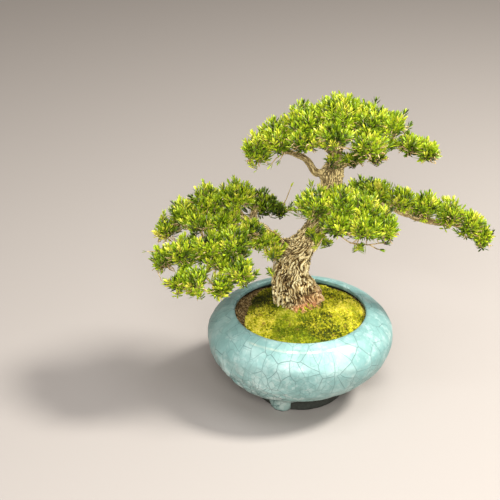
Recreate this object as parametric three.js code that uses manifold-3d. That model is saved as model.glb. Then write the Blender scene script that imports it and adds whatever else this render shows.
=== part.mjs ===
// A boxwood bonsai in a round, crackle-glazed pot on three feet.
// Millimetres, +Z up. The tree leans and layers to both sides of a short, corky trunk, which stands in
// soil under a carpet of moss. The front of the tree faces -Y. Each leafy spray is a solid of its own:
// pairs of leaves standing out of a small twiggy core, with a plain hole where its branch enters.
import * as THREE from "three";
import { mergeVertices } from "three/addons/utils/BufferGeometryUtils.js";
import Module from "manifold-3d";

const wasm = await Module();
wasm.setup();

// Driving dimensions
const potDiameter = 220;
const potHeight = 110;
const potSides = 32;
const mossSides = 28;
const gap = 0.35; // clearance between separate pieces
const drainRadius = 13;
const footCount = 3;
const footTurn = -26; // degrees from the front to the first foot
const soilEdgeHeight = 94;
const soilCrown = 13; // rise of the soil from its edge to the middle
const mossRadius = 77;
const mossThickness = 8;
const leafLength = 22;
const leafWidth = 13.5;
const leafThickness = 1.1;
const coreShare = 0.68; // size of a spray's twiggy core as a share of the spray
const leavesPerClump = 3.0; // and more on the larger clumps
const leafClearance = 7; // least distance between the tips and middles of two leaves
const grid = 0.002; // corners of joined solids lie on a grid this fine

const colours = {
  glaze: 0xbfdcd2,
  screen: 0x2c2e2c,
  soil: 0x4a3826,
  moss: 0x8a8c1e,
  bark: 0xa28d5c,
  leaf: 0x7f9f22,
};

// Radius and height along the pot's wall: outside from the foot ring up to the lip, then inside down
const potOutside = [
  [53.5, 1.2],
  [55.5, 4],
  [57, 20.5],
  [70, 27],
  [84, 35.2],
  [98, 48],
  [106.5, 63],
  [potDiameter / 2, 79],
  [108, 90],
  [99.5, 100.5],
  [88, 107.5],
  [81, potHeight],
];
const potInside = [
  [77.8, 107.6],
  [79.5, 103.4],
  [92, 95],
  [100.5, 84.5],
  [102.5, 74],
  [97.5, 58],
  [82, 41.5],
  [60, 27.5],
];
const potFloor = 17;
// Under the pot, from its axis out to the foot ring, which ends just above the feet
const potUnder = [
  [0, 10],
  [44, 10],
  [46.5, 1.2],
];

// Limbs of the tree: points along the middle of each, with the radius there
const limbs = {
  trunk: {
    sides: 18,
    ridges: 9,
    path: [
      [-3, 18, 66, 9],
      [-3, 19, 92, 21],
      [-3, 19, 110, 29.5],
      [-5, 17, 121, 26.5],
      [-9, 14, 136, 24],
      [-11.5, 13, 149, 20.8],
      [-8, 12, 164, 18.8],
      [-4.5, 11, 180, 17.6],
      [10, 11, 200, 13.8],
      [21, 11, 221, 12.8],
      [30, 11, 246, 13],
      [32, 10, 264, 10],
      [33.5, 9, 279, 13],
      [36, 8, 292, 9.6],
      [37, 6, 306, 6.2],
      [39, 2, 328, 4.4],
      [40, 0, 346, 3],
    ],
  },
  leftLimb: {
    sides: 10,
    ridges: 5,
    path: [
      [0, 11, 172, 13],
      [-14, 9, 185, 12],
      [-27, 8, 190, 9.5],
      [-36, 7, 199, 8],
      [-46, 7, 211, 7],
      [-58, 7, 217, 6.4],
      [-76, 9, 228, 5.4],
      [-102, 10, 233, 4.2],
      [-130, 10, 227, 3.3],
      [-152, 9, 214, 2.4],
    ],
  },
  cascade: {
    sides: 8,
    ridges: 4,
    path: [
      [28, 11, 240, 10],
      [56, 13, 249, 6.4],
      [87, 13, 246, 5.4],
      [114, 12, 233, 4.8],
      [148, 11, 220, 4.1],
      [178, 10, 217, 3.4],
      [202, 8, 207, 2.6],
    ],
  },
  leftLower: {
    sides: 5,
    path: [
      [-56, 6, 216, 5.2],
      [-78, -14, 213, 4.6],
      [-106, -28, 205, 4],
      [-132, -31, 198, 3],
      [-150, -31, 192, 2.2],
    ],
  },
  leftFront: {
    sides: 5,
    path: [
      [-88, -19, 210, 4],
      [-102, -38, 192, 3],
      [-112, -50, 182, 2.2],
    ],
  },
  leftInner: {
    sides: 5,
    path: [
      [-57, 4, 217, 4.8],
      [-65, -24, 207, 3.5],
      [-69, -46, 196, 2.2],
    ],
  },
  backLeft: {
    sides: 5,
    path: [
      [-57, 8, 218, 5.2],
      [-55, 30, 222, 4.4],
      [-48, 48, 229, 3],
    ],
  },
  frontRight: {
    sides: 6,
    path: [
      [24, 10, 230, 9],
      [38, -16, 243, 7],
      [56, -36, 249, 5.5],
      [74, -42, 247, 4],
      [86, -42, 244, 2.6],
    ],
  },
  frontLeft: {
    sides: 5,
    path: [
      [29, -3, 237, 5.5],
      [24, -28, 252, 4],
      [16, -42, 262, 2.5],
    ],
  },
  frontLow: {
    sides: 5,
    path: [
      [48, -28, 247, 4],
      [54, -46, 246, 3.2],
      [60, -58, 245, 2.2],
    ],
  },
  backRight: {
    sides: 5,
    path: [
      [32, 12, 246, 6.5],
      [48, 34, 246, 4.8],
      [64, 46, 243, 3],
    ],
  },
  apexLeft: {
    sides: 6,
    path: [
      [30, 9, 279, 6],
      [14, 6, 284, 4.4],
      [4, 3, 299, 3.8],
      [-8, 1, 307, 3.4],
      [-26, 0, 313, 2.9],
      [-44, -2, 316, 2.2],
    ],
  },
  apexRight: {
    sides: 6,
    path: [
      [36, 9, 288, 6.4],
      [58, 5, 303, 4.6],
      [80, 2, 314, 4],
      [104, 0, 320, 3.2],
      [128, -1, 314, 2.4],
    ],
  },
  apexCrownLeft: {
    sides: 5,
    path: [
      [37, 6, 304, 4.6],
      [18, 2, 322, 3.6],
      [6, 0, 335, 2.5],
    ],
  },
  apexCrownRight: {
    sides: 5,
    path: [
      [58, 5, 303, 4],
      [66, 2, 322, 3.3],
      [70, 0, 338, 2.5],
    ],
  },
  underApex: {
    sides: 5,
    path: [
      [35, 5, 296, 4],
      [33, -7, 303, 3],
      [31, -14, 306, 2],
    ],
  },
  upperInner: {
    sides: 5,
    path: [
      [-70, 9, 226, 5],
      [-75, 11, 236, 3.6],
      [-74, 12, 247, 2.4],
    ],
  },
  trunkShoot: {
    sides: 5,
    path: [
      [-8, 5, 184, 3.8],
      [-21, -4, 188, 3],
      [-31, -9, 191, 2.2],
    ],
  },
  apexBack: {
    sides: 5,
    path: [
      [37, 8, 300, 5.5],
      [44, 30, 316, 4],
      [48, 42, 326, 2.5],
    ],
  },
};

// Roots spread from the foot of the trunk and dip under the moss: heading in degrees, reach, radius
const roots = [
  [-102, 40, 8],
  [8, 40, 8.5],
  [75, 40, 8],
];

// Leafy sprays: each clump has a middle and three half-sizes
const sprays = {
  spray_apex_left: [
    [-51, -4, 315, 19, 21, 22],
    [-28, -2, 329, 24, 28, 21],
    [2, 0, 344, 26, 32, 24],
    [0, -27, 335, 21, 18, 16],
  ],
  spray_apex_crown: [
    [31, -31, 341, 23, 20, 19],
    [38, 0, 354, 28, 34, 25],
    [70, 0, 345, 26, 34, 25],
    [68, -31, 331, 22, 20, 18],
  ],
  spray_apex_right: [
    [97, -2, 345, 18, 22, 14],
    [118, -2, 319, 17, 18, 17],
    [137, -3, 312, 16, 16, 16],
  ],
  spray_apex_back: [
    [14, 44, 325, 24, 22, 19],
    [48, 47, 333, 26, 24, 21],
    [82, 40, 325, 22, 20, 18],
  ],
  spray_under_apex: [
    [31, -15, 308, 11, 10, 9],
    [55, -11, 307, 15, 12, 9.5],
    [80, -9, 309, 15, 12, 9],
  ],
  spray_front_upper: [
    [12, -46, 268, 24, 25, 21],
    [38, -44, 267, 24, 27, 21],
    [64, -42, 260, 22, 26, 21],
    [84, -42, 250, 17, 20, 17],
  ],
  spray_front_low: [
    [36, -65, 251, 21, 20, 18],
    [64, -66, 248, 21, 20, 18],
    [89, -58, 242, 17, 18, 17],
  ],
  spray_cascade: [
    [84, 16, 256, 20, 20, 16],
    [112, 14, 247, 20, 20, 17],
    [141, 13, 239, 20, 20, 17],
    [169, 12, 230, 19, 19, 18],
    [194, 10, 217, 18, 18, 19],
    [210, 8, 203, 15, 16, 17],
  ],
  spray_left_upper: [
    [-156, 11, 208, 18, 20, 18],
    [-135, 11, 230, 21, 24, 18],
    [-107, 12, 246, 23, 28, 18],
    [-74, 12, 251, 23, 27, 18],
    [-60, -14, 222, 18, 15, 14],
    [-88, -13, 230, 22, 17, 16],
    [-117, -12, 228, 21, 16, 16],
  ],
  spray_back_left: [
    [-45, 46, 225, 22, 22, 17],
    [-24, 50, 216, 14, 15, 11],
  ],
  spray_left_lower: [
    [-157, -30, 192, 18, 20, 19],
    [-136, -33, 202, 21, 25, 22],
    [-108, -32, 210, 23, 26, 24],
    [-78, -34, 213, 22, 25, 23],
  ],
  spray_left_front: [
    [-141, -59, 180, 17, 18, 17],
    [-118, -64, 180, 20, 20, 19],
    [-94, -65, 177, 18, 19, 17],
    [-70, -61, 192, 19, 20, 19],
    [-92, -48, 195, 19, 17, 14],
  ],
  spray_back_right: [[72, 50, 243, 22, 20, 16]],
  spray_trunk_shoots: [
    [-32, -11, 190, 12, 10, 13],
    [-34, -8, 207, 12, 10, 10],
    [-51, -14, 206, 15, 13, 13],
  ],
};

// A small generator with a fixed seed, so that every run draws the same leaves
function seeded(seed) {
  let state = seed >>> 0;
  return () => {
    state = (state + 0x6d2b79f5) >>> 0;
    let t = state;
    t = Math.imul(t ^ (t >>> 15), t | 1);
    t ^= t + Math.imul(t ^ (t >>> 7), t | 61);
    return ((t ^ (t >>> 14)) >>> 0) / 4294967296;
  };
}

function solidFrom(geometry, closeness = 1e-4) {
  const bare = geometry.clone();
  bare.deleteAttribute("normal");
  bare.deleteAttribute("uv");
  const merged = mergeVertices(bare, closeness);
  return new wasm.Manifold(
    new wasm.Mesh({
      numProp: 3,
      vertProperties: new Float32Array(merged.attributes.position.array),
      triVerts: new Uint32Array(merged.index.array),
    }),
  );
}

function geometryFrom(solid) {
  const mesh = solid.getMesh();
  const geometry = new THREE.BufferGeometry();
  geometry.setAttribute(
    "position",
    new THREE.BufferAttribute(new Float32Array(mesh.vertProperties), 3),
  );
  geometry.setIndex(new THREE.BufferAttribute(new Uint32Array(mesh.triVerts), 1));
  geometry.computeVertexNormals();
  return geometry;
}

function joined(solids) {
  return solids.reduce((all, next) => all.add(next));
}

function largestBody(solid) {
  return solid.decompose().reduce((best, body) => (body.volume() > best.volume() ? body : best));
}

// Moves every corner to the nearest point of a fine grid, so that no two corners almost touch
function snapped(solid) {
  const geometry = geometryFrom(solid);
  const corners = geometry.attributes.position.array;
  for (let i = 0; i < corners.length; i++) corners[i] = Math.round(corners[i] / grid) * grid;
  return mergeVertices(geometry.deleteAttribute("normal"), grid / 2);
}

// Whether each edge belongs to exactly two facets
function isCleanlyClosed(geometry) {
  const index = geometry.index.array;
  const uses = new Map();
  for (let i = 0; i < index.length; i += 3) {
    const [a, b, c] = index.slice(i, i + 3);
    if (a === b || b === c || c === a) continue;
    for (const [from, to] of [[a, b], [b, c], [c, a]]) {
      const key = Math.min(from, to) + "-" + Math.max(from, to);
      uses.set(key, (uses.get(key) ?? 0) + 1);
    }
  }
  return [...uses.values()].every((count) => count === 2);
}

// Smooths away the thinnest facets, and keeps the body that holds together when loose scraps fall off
function tidied(solid) {
  for (const finest of [0.04, 0.08, 0.16]) {
    const body = largestBody(solidFrom(snapped(largestBody(solid.simplify(finest)))));
    if (isCleanlyClosed(snapped(body))) return body;
  }
  return undefined;
}

function meshOf(name, solid, colour, roughness) {
  const material = new THREE.MeshStandardMaterial({
    color: colour,
    roughness,
    metalness: 0,
    flatShading: true,
  });
  const mesh = new THREE.Mesh(geometryFrom(solid), material);
  mesh.name = name;
  return mesh;
}

// A solid of revolution about Z from [radius, height] pairs that start and end on the axis
function turned(profile, sides) {
  const points = profile.map(([r, z]) => new THREE.Vector2(r, z));
  const geometry = new THREE.LatheGeometry(points, sides);
  geometry.rotateX(Math.PI / 2);
  return solidFrom(geometry);
}

// Rings of points, one after another, closed at both ends by a point
function ringSolid(first, rings, last) {
  const sides = rings[0].length;
  const positions = [...first];
  for (const ring of rings) for (const point of ring) positions.push(...point);
  positions.push(...last);
  const lastIndex = positions.length / 3 - 1;
  const at = (ring, side) => 1 + ring * sides + (side % sides);
  const faces = [];
  for (let i = 0; i < sides; i++) faces.push(0, at(0, i + 1), at(0, i));
  for (let ring = 0; ring + 1 < rings.length; ring++) {
    for (let i = 0; i < sides; i++) {
      faces.push(at(ring, i), at(ring, i + 1), at(ring + 1, i + 1));
      faces.push(at(ring, i), at(ring + 1, i + 1), at(ring + 1, i));
    }
  }
  const top = rings.length - 1;
  for (let i = 0; i < sides; i++) faces.push(lastIndex, at(top, i), at(top, i + 1));
  const geometry = new THREE.BufferGeometry();
  geometry.setAttribute("position", new THREE.Float32BufferAttribute(positions, 3));
  geometry.setIndex(faces);
  return solidFrom(geometry);
}

// A tapering limb along a smooth curve; extra is added to its radius, for the holes that it stands in
function limbSolid({ path, sides, ridges = 0 }, extra) {
  const curve = new THREE.CatmullRomCurve3(
    path.map(([x, y, z]) => new THREE.Vector3(x, y, z)),
    false,
    "centripetal",
  );
  const steps = path.length - 1;
  const rings = [];
  let across = new THREE.Vector3(1, 0, 0);
  for (let step = 0; step <= steps; step++) {
    const t = step / steps;
    const middle = curve.getPoint(t);
    const along = curve.getTangent(t);
    across = across.clone().addScaledVector(along, -across.dot(along)).normalize();
    const upward = along.clone().cross(across);
    const radius = path[step][3];
    const ring = [];
    for (let i = 0; i < sides; i++) {
      const angle = (i / sides) * 2 * Math.PI;
      const wave = ridges ? Math.cos(ridges * angle + 1.3 * step) : 0;
      const knot = ridges ? Math.sin(3 * angle + 0.9 * step) : 0;
      const reach = radius * (1 + 0.08 * wave + 0.045 * knot) + extra;
      const point = middle
        .clone()
        .addScaledVector(across, Math.cos(angle) * reach)
        .addScaledVector(upward, Math.sin(angle) * reach);
      ring.push(point.toArray());
    }
    rings.push(ring);
  }
  const start = curve.getPoint(0).addScaledVector(curve.getTangent(0), -extra);
  const end = curve.getPoint(1).addScaledVector(curve.getTangent(1), 0.5 + extra);
  return ringSolid(start.toArray(), rings, end.toArray());
}

function rootPath([heading, reach, radius]) {
  const [x, y] = limbs.trunk.path[3];
  const turn = THREE.MathUtils.degToRad(heading);
  const at = (share, z, r) => [
    x + Math.cos(turn) * reach * share,
    y + Math.sin(turn) * reach * share,
    z,
    r,
  ];
  return {
    sides: 5,
    path: [
      at(0.25, 128, radius * 0.9),
      at(0.55, 115, radius),
      at(0.8, 104, radius * 0.75),
      at(1, 91, radius * 0.4),
    ],
  };
}

function woodSolid(extra) {
  const all = Object.values(limbs).map((limb) => limbSolid(limb, extra));
  const spread = roots.map((root) => limbSolid(rootPath(root), extra));
  return tidied(joined([...all, ...spread]));
}

function potSolid() {
  const body = turned(
    [...potUnder, ...potOutside, ...potInside, [44, 18.5], [0, potFloor]],
    potSides,
  );
  const drain = new THREE.CylinderGeometry(drainRadius, drainRadius, 20, 16);
  drain.rotateX(Math.PI / 2).translate(0, 0, potFloor - 4);
  const feet = [];
  for (let i = 0; i < footCount; i++) {
    // a rounded block, wider where it grows out of the wall
    const profile = [
      [0, 0],
      [9, 0],
      [11, 2],
      [12.5, 12],
      [12, 22],
      [0, 22],
    ];
    const points = profile.map(([r, z]) => new THREE.Vector2(r, z));
    const foot = new THREE.LatheGeometry(points, 10).rotateX(Math.PI / 2);
    foot.scale(1, 0.72, 1).translate(0, -51, 0);
    foot.rotateZ(THREE.MathUtils.degToRad(footTurn + (i * 360) / footCount));
    feet.push(solidFrom(foot));
  }
  const inner = turned([[0, potFloor], [44, 18.5], ...[...potInside].reverse(), [0, 108]], potSides);
  return joined([body, ...feet]).subtract(inner).subtract(solidFrom(drain));
}

// A plastic mesh square that keeps the soil from washing out of the drain hole
function screenSolid() {
  const side = 40;
  const thickness = 1.4;
  const holes = 4;
  const pitch = side / (holes + 1);
  const plate = new THREE.BoxGeometry(side, side, thickness);
  let screen = solidFrom(plate);
  for (let i = 0; i < holes; i++) {
    for (let j = 0; j < holes; j++) {
      const hole = new THREE.BoxGeometry(pitch * 0.55, pitch * 0.55, thickness * 2);
      hole.translate((i - (holes - 1) / 2) * pitch, (j - (holes - 1) / 2) * pitch, 0);
      screen = screen.subtract(solidFrom(hole));
    }
  }
  return screen;
}
const screenHeight = potFloor + 2.4;

function soilTop(radius) {
  return soilEdgeHeight + soilCrown * (1 - (radius / 92) ** 2);
}

// Soil fills the pot to just under the lip; its outside follows the pot's inside wall
function soilSolid() {
  const wall = [...potInside]
    .reverse()
    .filter(([, z]) => z < soilEdgeHeight - 1)
    .map(([r, z]) => [r - gap * 1.6, z + gap * 0.6]);
  const top = [90.5, 60, 30].map((radius) => [radius, soilTop(radius)]);
  const bed = screenHeight + 1.2;
  return turned([[0, bed], [42, bed], ...wall, ...top, [0, soilTop(0)]], potSides);
}

// The outer edge of the moss, drawn in where bare soil shows at the left
function mossEdge(angle) {
  const bare = Math.exp(-(((angle - 2.95) / 0.55) ** 2));
  const waves = 1.2 * Math.sin(5 * angle) - 1.2 * Math.abs(Math.sin(8.5 * angle));
  return mossRadius * (1 - 0.2 * bare) + waves;
}

function mossTop(radius, angle, edge) {
  const x = radius * Math.cos(angle);
  const y = radius * Math.sin(angle);
  const mounds = 1.5 * Math.sin(x / 11 + 1.2) * Math.cos(y / 9) + 0.9 * Math.sin((x - y) / 6.5);
  const rounding = Math.sqrt(Math.max(0, 1 - (radius / edge) ** 6));
  return soilTop(radius) + 1.8 + (mossThickness - 1 + mounds) * rounding;
}

function mossSolid() {
  const ringAt = (share, height) =>
    Array.from({ length: mossSides }, (_, i) => {
      const angle = (i / mossSides) * 2 * Math.PI;
      const edge = mossEdge(angle);
      const radius = edge * share;
      return [Math.cos(angle) * radius, Math.sin(angle) * radius, height(radius, angle, edge)];
    });
  const under = [0.55, 0.97].map((share) => ringAt(share, (radius) => soilTop(radius) + 0.6));
  const over = [1, 0.92, 0.78, 0.62, 0.44].map((share) => ringAt(share, mossTop));
  return ringSolid([0, 0, soilTop(0) + 0.6], [...under, ...over], [0, 0, mossTop(0, 0, mossRadius)]);
}

// A boxwood leaf: a closed blade, cupped along its rib, pointing along +X from its base at the origin
function leafGeometry() {
  const outline = [
    [0, 0],
    [0.42, 0.92],
    [0.74, 0.9],
    [1, 0],
    [0.74, -0.9],
    [0.42, -0.92],
  ];
  const positions = [];
  for (const [x, y] of outline) {
    const lift = Math.abs(y) * 1.1 - (x - 0.5) ** 2 * 2.4;
    positions.push(x * leafLength, (y * leafWidth) / 2, lift);
  }
  positions.push(leafLength * 0.52, 0, -0.2, leafLength * 0.52, 0, -0.2 - leafThickness);
  const faces = [];
  const upper = outline.length;
  for (let i = 0; i < outline.length; i++) {
    const next = (i + 1) % outline.length;
    faces.push(upper, next, i);
    faces.push(upper + 1, i, next);
  }
  const geometry = new THREE.BufferGeometry();
  geometry.setAttribute("position", new THREE.Float32BufferAttribute(positions, 3));
  geometry.setIndex(faces);
  return geometry;
}
const leafBlade = leafGeometry();

function cornersOf(geometry) {
  const corners = geometry.attributes.position;
  return Array.from({ length: corners.count }, (_, i) =>
    new THREE.Vector3().fromBufferAttribute(corners, i),
  );
}

// Each pair of clumps in different sprays is kept apart by a plane between them
function dividers(name, clump) {
  const planes = [];
  const middle = new THREE.Vector3(...clump.slice(0, 3));
  const size = Math.cbrt(clump[3] * clump[4] * clump[5]);
  for (const [other, clumps] of Object.entries(sprays)) {
    if (other === name) continue;
    for (const neighbour of clumps) {
      const far = new THREE.Vector3(...neighbour.slice(0, 3));
      const farSize = Math.cbrt(neighbour[3] * neighbour[4] * neighbour[5]);
      const distance = middle.distanceTo(far);
      if (distance > (size + farSize) * 2.2) continue;
      const inward = middle.clone().sub(far).normalize();
      const onPlane = middle.clone().lerp(far, size / (size + farSize));
      planes.push({ inward, offset: inward.dot(onPlane) + gap });
    }
  }
  return planes;
}

function clumpSolids(name, clump, mates, random, taken) {
  const [x, y, z, rx, ry, rz] = clump;
  const middle = new THREE.Vector3(x, y, z);
  const half = new THREE.Vector3(rx, ry, rz);
  const planes = dividers(name, clump);
  const clear = (point) => planes.every(({ inward, offset }) => inward.dot(point) > offset);
  const isLarge = rx > 25;
  const core = new THREE.IcosahedronGeometry(1, isLarge ? 1 : 0);
  core.rotateZ(random() * 6);
  core.scale(rx * coreShare, ry * coreShare, rz * coreShare).translate(x, y, z);
  let coreSolid = solidFrom(core);
  for (const { inward, offset } of planes) {
    coreSolid = coreSolid.trimByPlane(inward.toArray(), offset);
  }
  const buried = (point) =>
    mates.some((mate) => {
      if (mate === clump) return false;
      const dx = (point.x - mate[0]) / mate[3];
      const dy = (point.y - mate[1]) / mate[4];
      const dz = (point.z - mate[2]) / mate[5];
      return Math.hypot(dx, dy, dz) < 0.78;
    });
  const mean = Math.cbrt(rx * ry * rz);
  const size = THREE.MathUtils.clamp(mean / 21, 0.72, 1.05);
  const count = Math.round(leavesPerClump + 0.24 * mean);
  const found = [coreSolid];
  for (let i = 0; i < count; i++) {
    const up = 1 - (2 * (i + 0.5)) / count;
    if (up < -0.62) continue;
    const turn = i * 2.39996 + random() * 0.5;
    const flat = Math.sqrt(1 - up * up);
    const unit = new THREE.Vector3(flat * Math.cos(turn), flat * Math.sin(turn), up);
    const rooted = coreShare * (isLarge ? 0.88 : 0.75);
    const base = middle.clone().add(unit.clone().multiply(half).multiplyScalar(rooted));
    if (buried(base)) continue;
    const outward = unit.clone().divide(half).normalize();
    outward.z += 0.25;
    outward.normalize();
    const east = new THREE.Vector3(-outward.y, outward.x, 0.01).normalize();
    const north = outward.clone().cross(east).normalize();
    for (let attempt = 0; attempt < 8; attempt++) {
      const heading = random() * 2 * Math.PI;
      const lean = 0.55 + 0.75 * random();
      const along = outward
        .clone()
        .addScaledVector(east, lean * Math.cos(heading))
        .addScaledVector(north, lean * Math.sin(heading))
        .normalize();
      const face = outward.clone().addScaledVector(along, -outward.dot(along)).normalize();
      const across = face.clone().cross(along);
      const place = new THREE.Matrix4().makeBasis(along, across, face).setPosition(base);
      const blade = leafBlade.clone().scale(size, size, size).applyMatrix4(place);
      const corners = cornersOf(blade);
      const marks = [corners[3], corners[6], corners[3].clone().lerp(corners[6], 0.5)];
      const crowded = marks.some((mark) =>
        taken.some((other) => mark.distanceTo(other) < leafClearance),
      );
      if (corners.every(clear) && !crowded) {
        found.push(solidFrom(blade));
        taken.push(...marks);
        break;
      }
    }
  }
  return found;
}

// Clumps of one spray share a twiggy core that runs from each middle to the next. Where leaves cross
// in facets that are too thin, the leaves are drawn again.
function spraySolid(name, clumps, wood, seed) {
  const stems = clumps.slice(1).map((clump, i) => {
    const path = [clumps[i], clump].map(([x, y, z, , , rz]) => [x, y, z, rz * coreShare * 0.8]);
    return limbSolid({ sides: 5, path }, 0);
  });
  for (let draw = 0; draw < 20; draw++) {
    const random = seeded(seed + 100 * draw);
    const taken = [];
    const leafy = clumps.flatMap((clump) => clumpSolids(name, clump, clumps, random, taken));
    const spray = tidied(joined([...leafy, ...stems]).subtract(wood));
    if (spray) return spray;
  }
  throw new Error(name + " has leaves that cross in facets that are too thin");
}

const wood = woodSolid(0);
const woodHole = woodSolid(gap + 0.2);
const soil = tidied(soilSolid().subtract(woodHole));
const moss = tidied(mossSolid().subtract(woodHole));

const bonsai = new THREE.Group();
bonsai.add(meshOf("pot", potSolid(), colours.glaze, 0.2));
const screen = meshOf("drain_screen", screenSolid(), colours.screen, 0.6);
screen.position.z = screenHeight;
bonsai.add(screen);
bonsai.add(meshOf("soil", soil, colours.soil, 0.95));
bonsai.add(meshOf("moss", moss, colours.moss, 0.95));
bonsai.add(meshOf("trunk_and_branches", wood, colours.bark, 0.9));
Object.entries(sprays).forEach(([name, clumps], i) => {
  bonsai.add(meshOf(name, spraySolid(name, clumps, woodHole, 41 + i), colours.leaf, 0.5));
});

// The origin is under the middle of the whole, on the surface that the feet stand on
const reach = new THREE.Box3().setFromObject(bonsai, true);
const middle = reach.getCenter(new THREE.Vector3());
bonsai.position.set(-Math.round(middle.x * 10) / 10, -Math.round(middle.y * 10) / 10, 0);
const part = new THREE.Group();
part.add(bonsai);

export default part;
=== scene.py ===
# Boxwood bonsai in a crackle-glazed bowl: fine leaves, bark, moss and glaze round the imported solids.
import math
import random

import bpy
import numpy as np
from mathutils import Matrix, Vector, noise


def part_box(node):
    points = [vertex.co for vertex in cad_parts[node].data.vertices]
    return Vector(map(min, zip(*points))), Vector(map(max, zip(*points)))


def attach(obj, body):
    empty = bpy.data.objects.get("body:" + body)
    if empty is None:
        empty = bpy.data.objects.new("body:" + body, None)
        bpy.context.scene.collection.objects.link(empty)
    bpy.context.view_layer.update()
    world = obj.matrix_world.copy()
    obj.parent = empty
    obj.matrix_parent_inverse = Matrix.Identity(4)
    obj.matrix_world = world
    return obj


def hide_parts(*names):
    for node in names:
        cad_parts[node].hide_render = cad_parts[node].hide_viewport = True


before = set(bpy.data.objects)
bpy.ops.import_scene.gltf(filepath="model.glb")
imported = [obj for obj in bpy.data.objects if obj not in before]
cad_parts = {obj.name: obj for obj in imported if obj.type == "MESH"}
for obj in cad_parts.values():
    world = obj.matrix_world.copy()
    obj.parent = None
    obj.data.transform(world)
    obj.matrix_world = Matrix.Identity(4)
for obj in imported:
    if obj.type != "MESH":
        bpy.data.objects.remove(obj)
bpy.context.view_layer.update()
scene = bpy.context.scene
mm = 0.001

potLow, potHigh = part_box("pot")
potAxis = (potLow + potHigh) / 2  # x and y of the bowl's axis, which the lists below are measured from


def placed(points):
    # millimetres from the bowl's axis and the floor, turned into metres in the frame
    return np.asarray(points, float) * mm + np.array([potAxis.x, potAxis.y, 0.0])


# General helpers for meshes and nodes

def newMesh(name, points, faces, edges=(), smooth=True, **attributes):
    mesh = bpy.data.meshes.new(name)
    mesh.from_pydata(np.asarray(points, float).tolist(), list(edges), list(faces))
    for key, values in attributes.items():
        values = np.asarray(values, np.float32)
        isVector = values.ndim == 2
        layer = mesh.attributes.new(key, "FLOAT_VECTOR" if isVector else "FLOAT", "POINT")
        layer.data.foreach_set("vector" if isVector else "value", values.ravel())
    mesh.polygons.foreach_set("use_smooth", [smooth] * len(mesh.polygons))
    return mesh


def newObject(name, mesh):
    piece = bpy.data.objects.new(name, mesh)
    scene.collection.objects.link(piece)
    return piece


def newPiece(name, points, faces, **others):
    return newObject(name, newMesh(name, points, faces, **others))


def joinMeshes(parts):
    # several (points, faces) pairs as one pair
    points, faces, start = [], [], 0
    for somePoints, someFaces in parts:
        points.append(np.asarray(somePoints, float))
        faces += [tuple(start + corner for corner in face) for face in someFaces]
        start += len(somePoints)
    return np.concatenate(points), faces


def addNode(tree, kind, feeds=None, **settings):
    made = tree.nodes.new(kind)
    for name, value in settings.items():
        setattr(made, name, value)
    for socket, value in (feeds or {}).items():
        if isinstance(value, bpy.types.NodeSocket):
            tree.links.new(value, made.inputs[socket])
        else:
            made.inputs[socket].default_value = value
    return made


def newGeometryTree(name, sockets):
    # sockets: (name, kind) for each named input after the geometry itself
    tree = bpy.data.node_groups.new(name, "GeometryNodeTree")
    tree.interface.new_socket("Geometry", in_out="INPUT", socket_type="NodeSocketGeometry")
    for label, kind in sockets:
        tree.interface.new_socket(label, in_out="INPUT", socket_type="NodeSocket" + kind)
    tree.interface.new_socket("Geometry", in_out="OUTPUT", socket_type="NodeSocketGeometry")
    return tree, addNode(tree, "NodeGroupInput").outputs


def endGeometryTree(tree, geometry, finish):
    realized = addNode(tree, "GeometryNodeRealizeInstances", {"Geometry": geometry})
    feeds = {"Geometry": realized.outputs[0], "Material": finish}
    coloured = addNode(tree, "GeometryNodeSetMaterial", feeds)
    addNode(tree, "NodeGroupOutput", {0: coloured.outputs[0]})


def makePlain(piece, modifier):
    # the modifier's result becomes the piece's own plain mesh
    grown = bpy.data.meshes.new_from_object(piece.evaluated_get(bpy.context.evaluated_depsgraph_get()))
    piece.modifiers.remove(modifier)
    sparse, piece.data = piece.data, grown
    bpy.data.meshes.remove(sparse)
    grown.name = piece.name


def runTree(piece, tree, values):
    modifier = piece.modifiers.new("grow", "NODES")
    modifier.node_group = tree
    for item in tree.interface.items_tree:
        if item.in_out == "INPUT" and item.name in values:
            modifier[item.identifier] = values[item.name]
    makePlain(piece, modifier)


def dress(piece, slotName, *nodes):
    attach(piece, "root")
    if nodes:
        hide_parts(*nodes)
    piece.data.calc_loop_triangles()
    print(f"  {piece.name}: {len(piece.data.loop_triangles)} triangles")


def anglesRound(count):
    return [i / count * 2 * math.pi for i in range(count)]


def onCircle(turn, radius):
    return math.cos(turn) * radius, math.sin(turn) * radius


def ringFaces(rings, sides, closedLoop=False):
    # faces between rings of points, and from the last ring to the first in a closed loop
    faces = []
    for ring in range(rings if closedLoop else rings - 1):
        a, b = ring * sides, (ring + 1) % rings * sides
        faces += [(a + i, a + (i + 1) % sides, b + (i + 1) % sides, b + i) for i in range(sides)]
    return faces


def tubeFaces(rings, sides):
    # the faces between the rings, and a cap at each end
    last = (rings - 1) * sides
    return ringFaces(rings, sides) + [tuple(range(sides))[::-1], tuple(range(last, last + sides))]


def flipped(faces):
    return [face[::-1] for face in faces]


def curveBetween(p0, p1, p2, p3, t):
    # a point of the smooth curve from p1 to p2, with the points before and after them
    square = (2 * p0 - 5 * p1 + 4 * p2 - p3) * t**2
    cube = (3 * p1 - p0 - 3 * p2 + p3) * t**3
    return (2 * p1 + (p2 - p0) * t + square + cube) / 2


def bump(value, middle, width):
    # 1 at the middle, and falling off on both sides
    return math.exp(-((value - middle) / width) ** 2)


def clamped(value):
    return min(1, max(0, value))


# Helpers for finishes

def paint(red, green, blue):
    # a colour as a screen shows it, from 0 to 255, in the values that a socket takes
    shares = (red / 255, green / 255, blue / 255)
    return (*[v / 12.92 if v <= 0.04 else ((v + 0.055) / 1.055) ** 2.4 for v in shares], 1)


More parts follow.
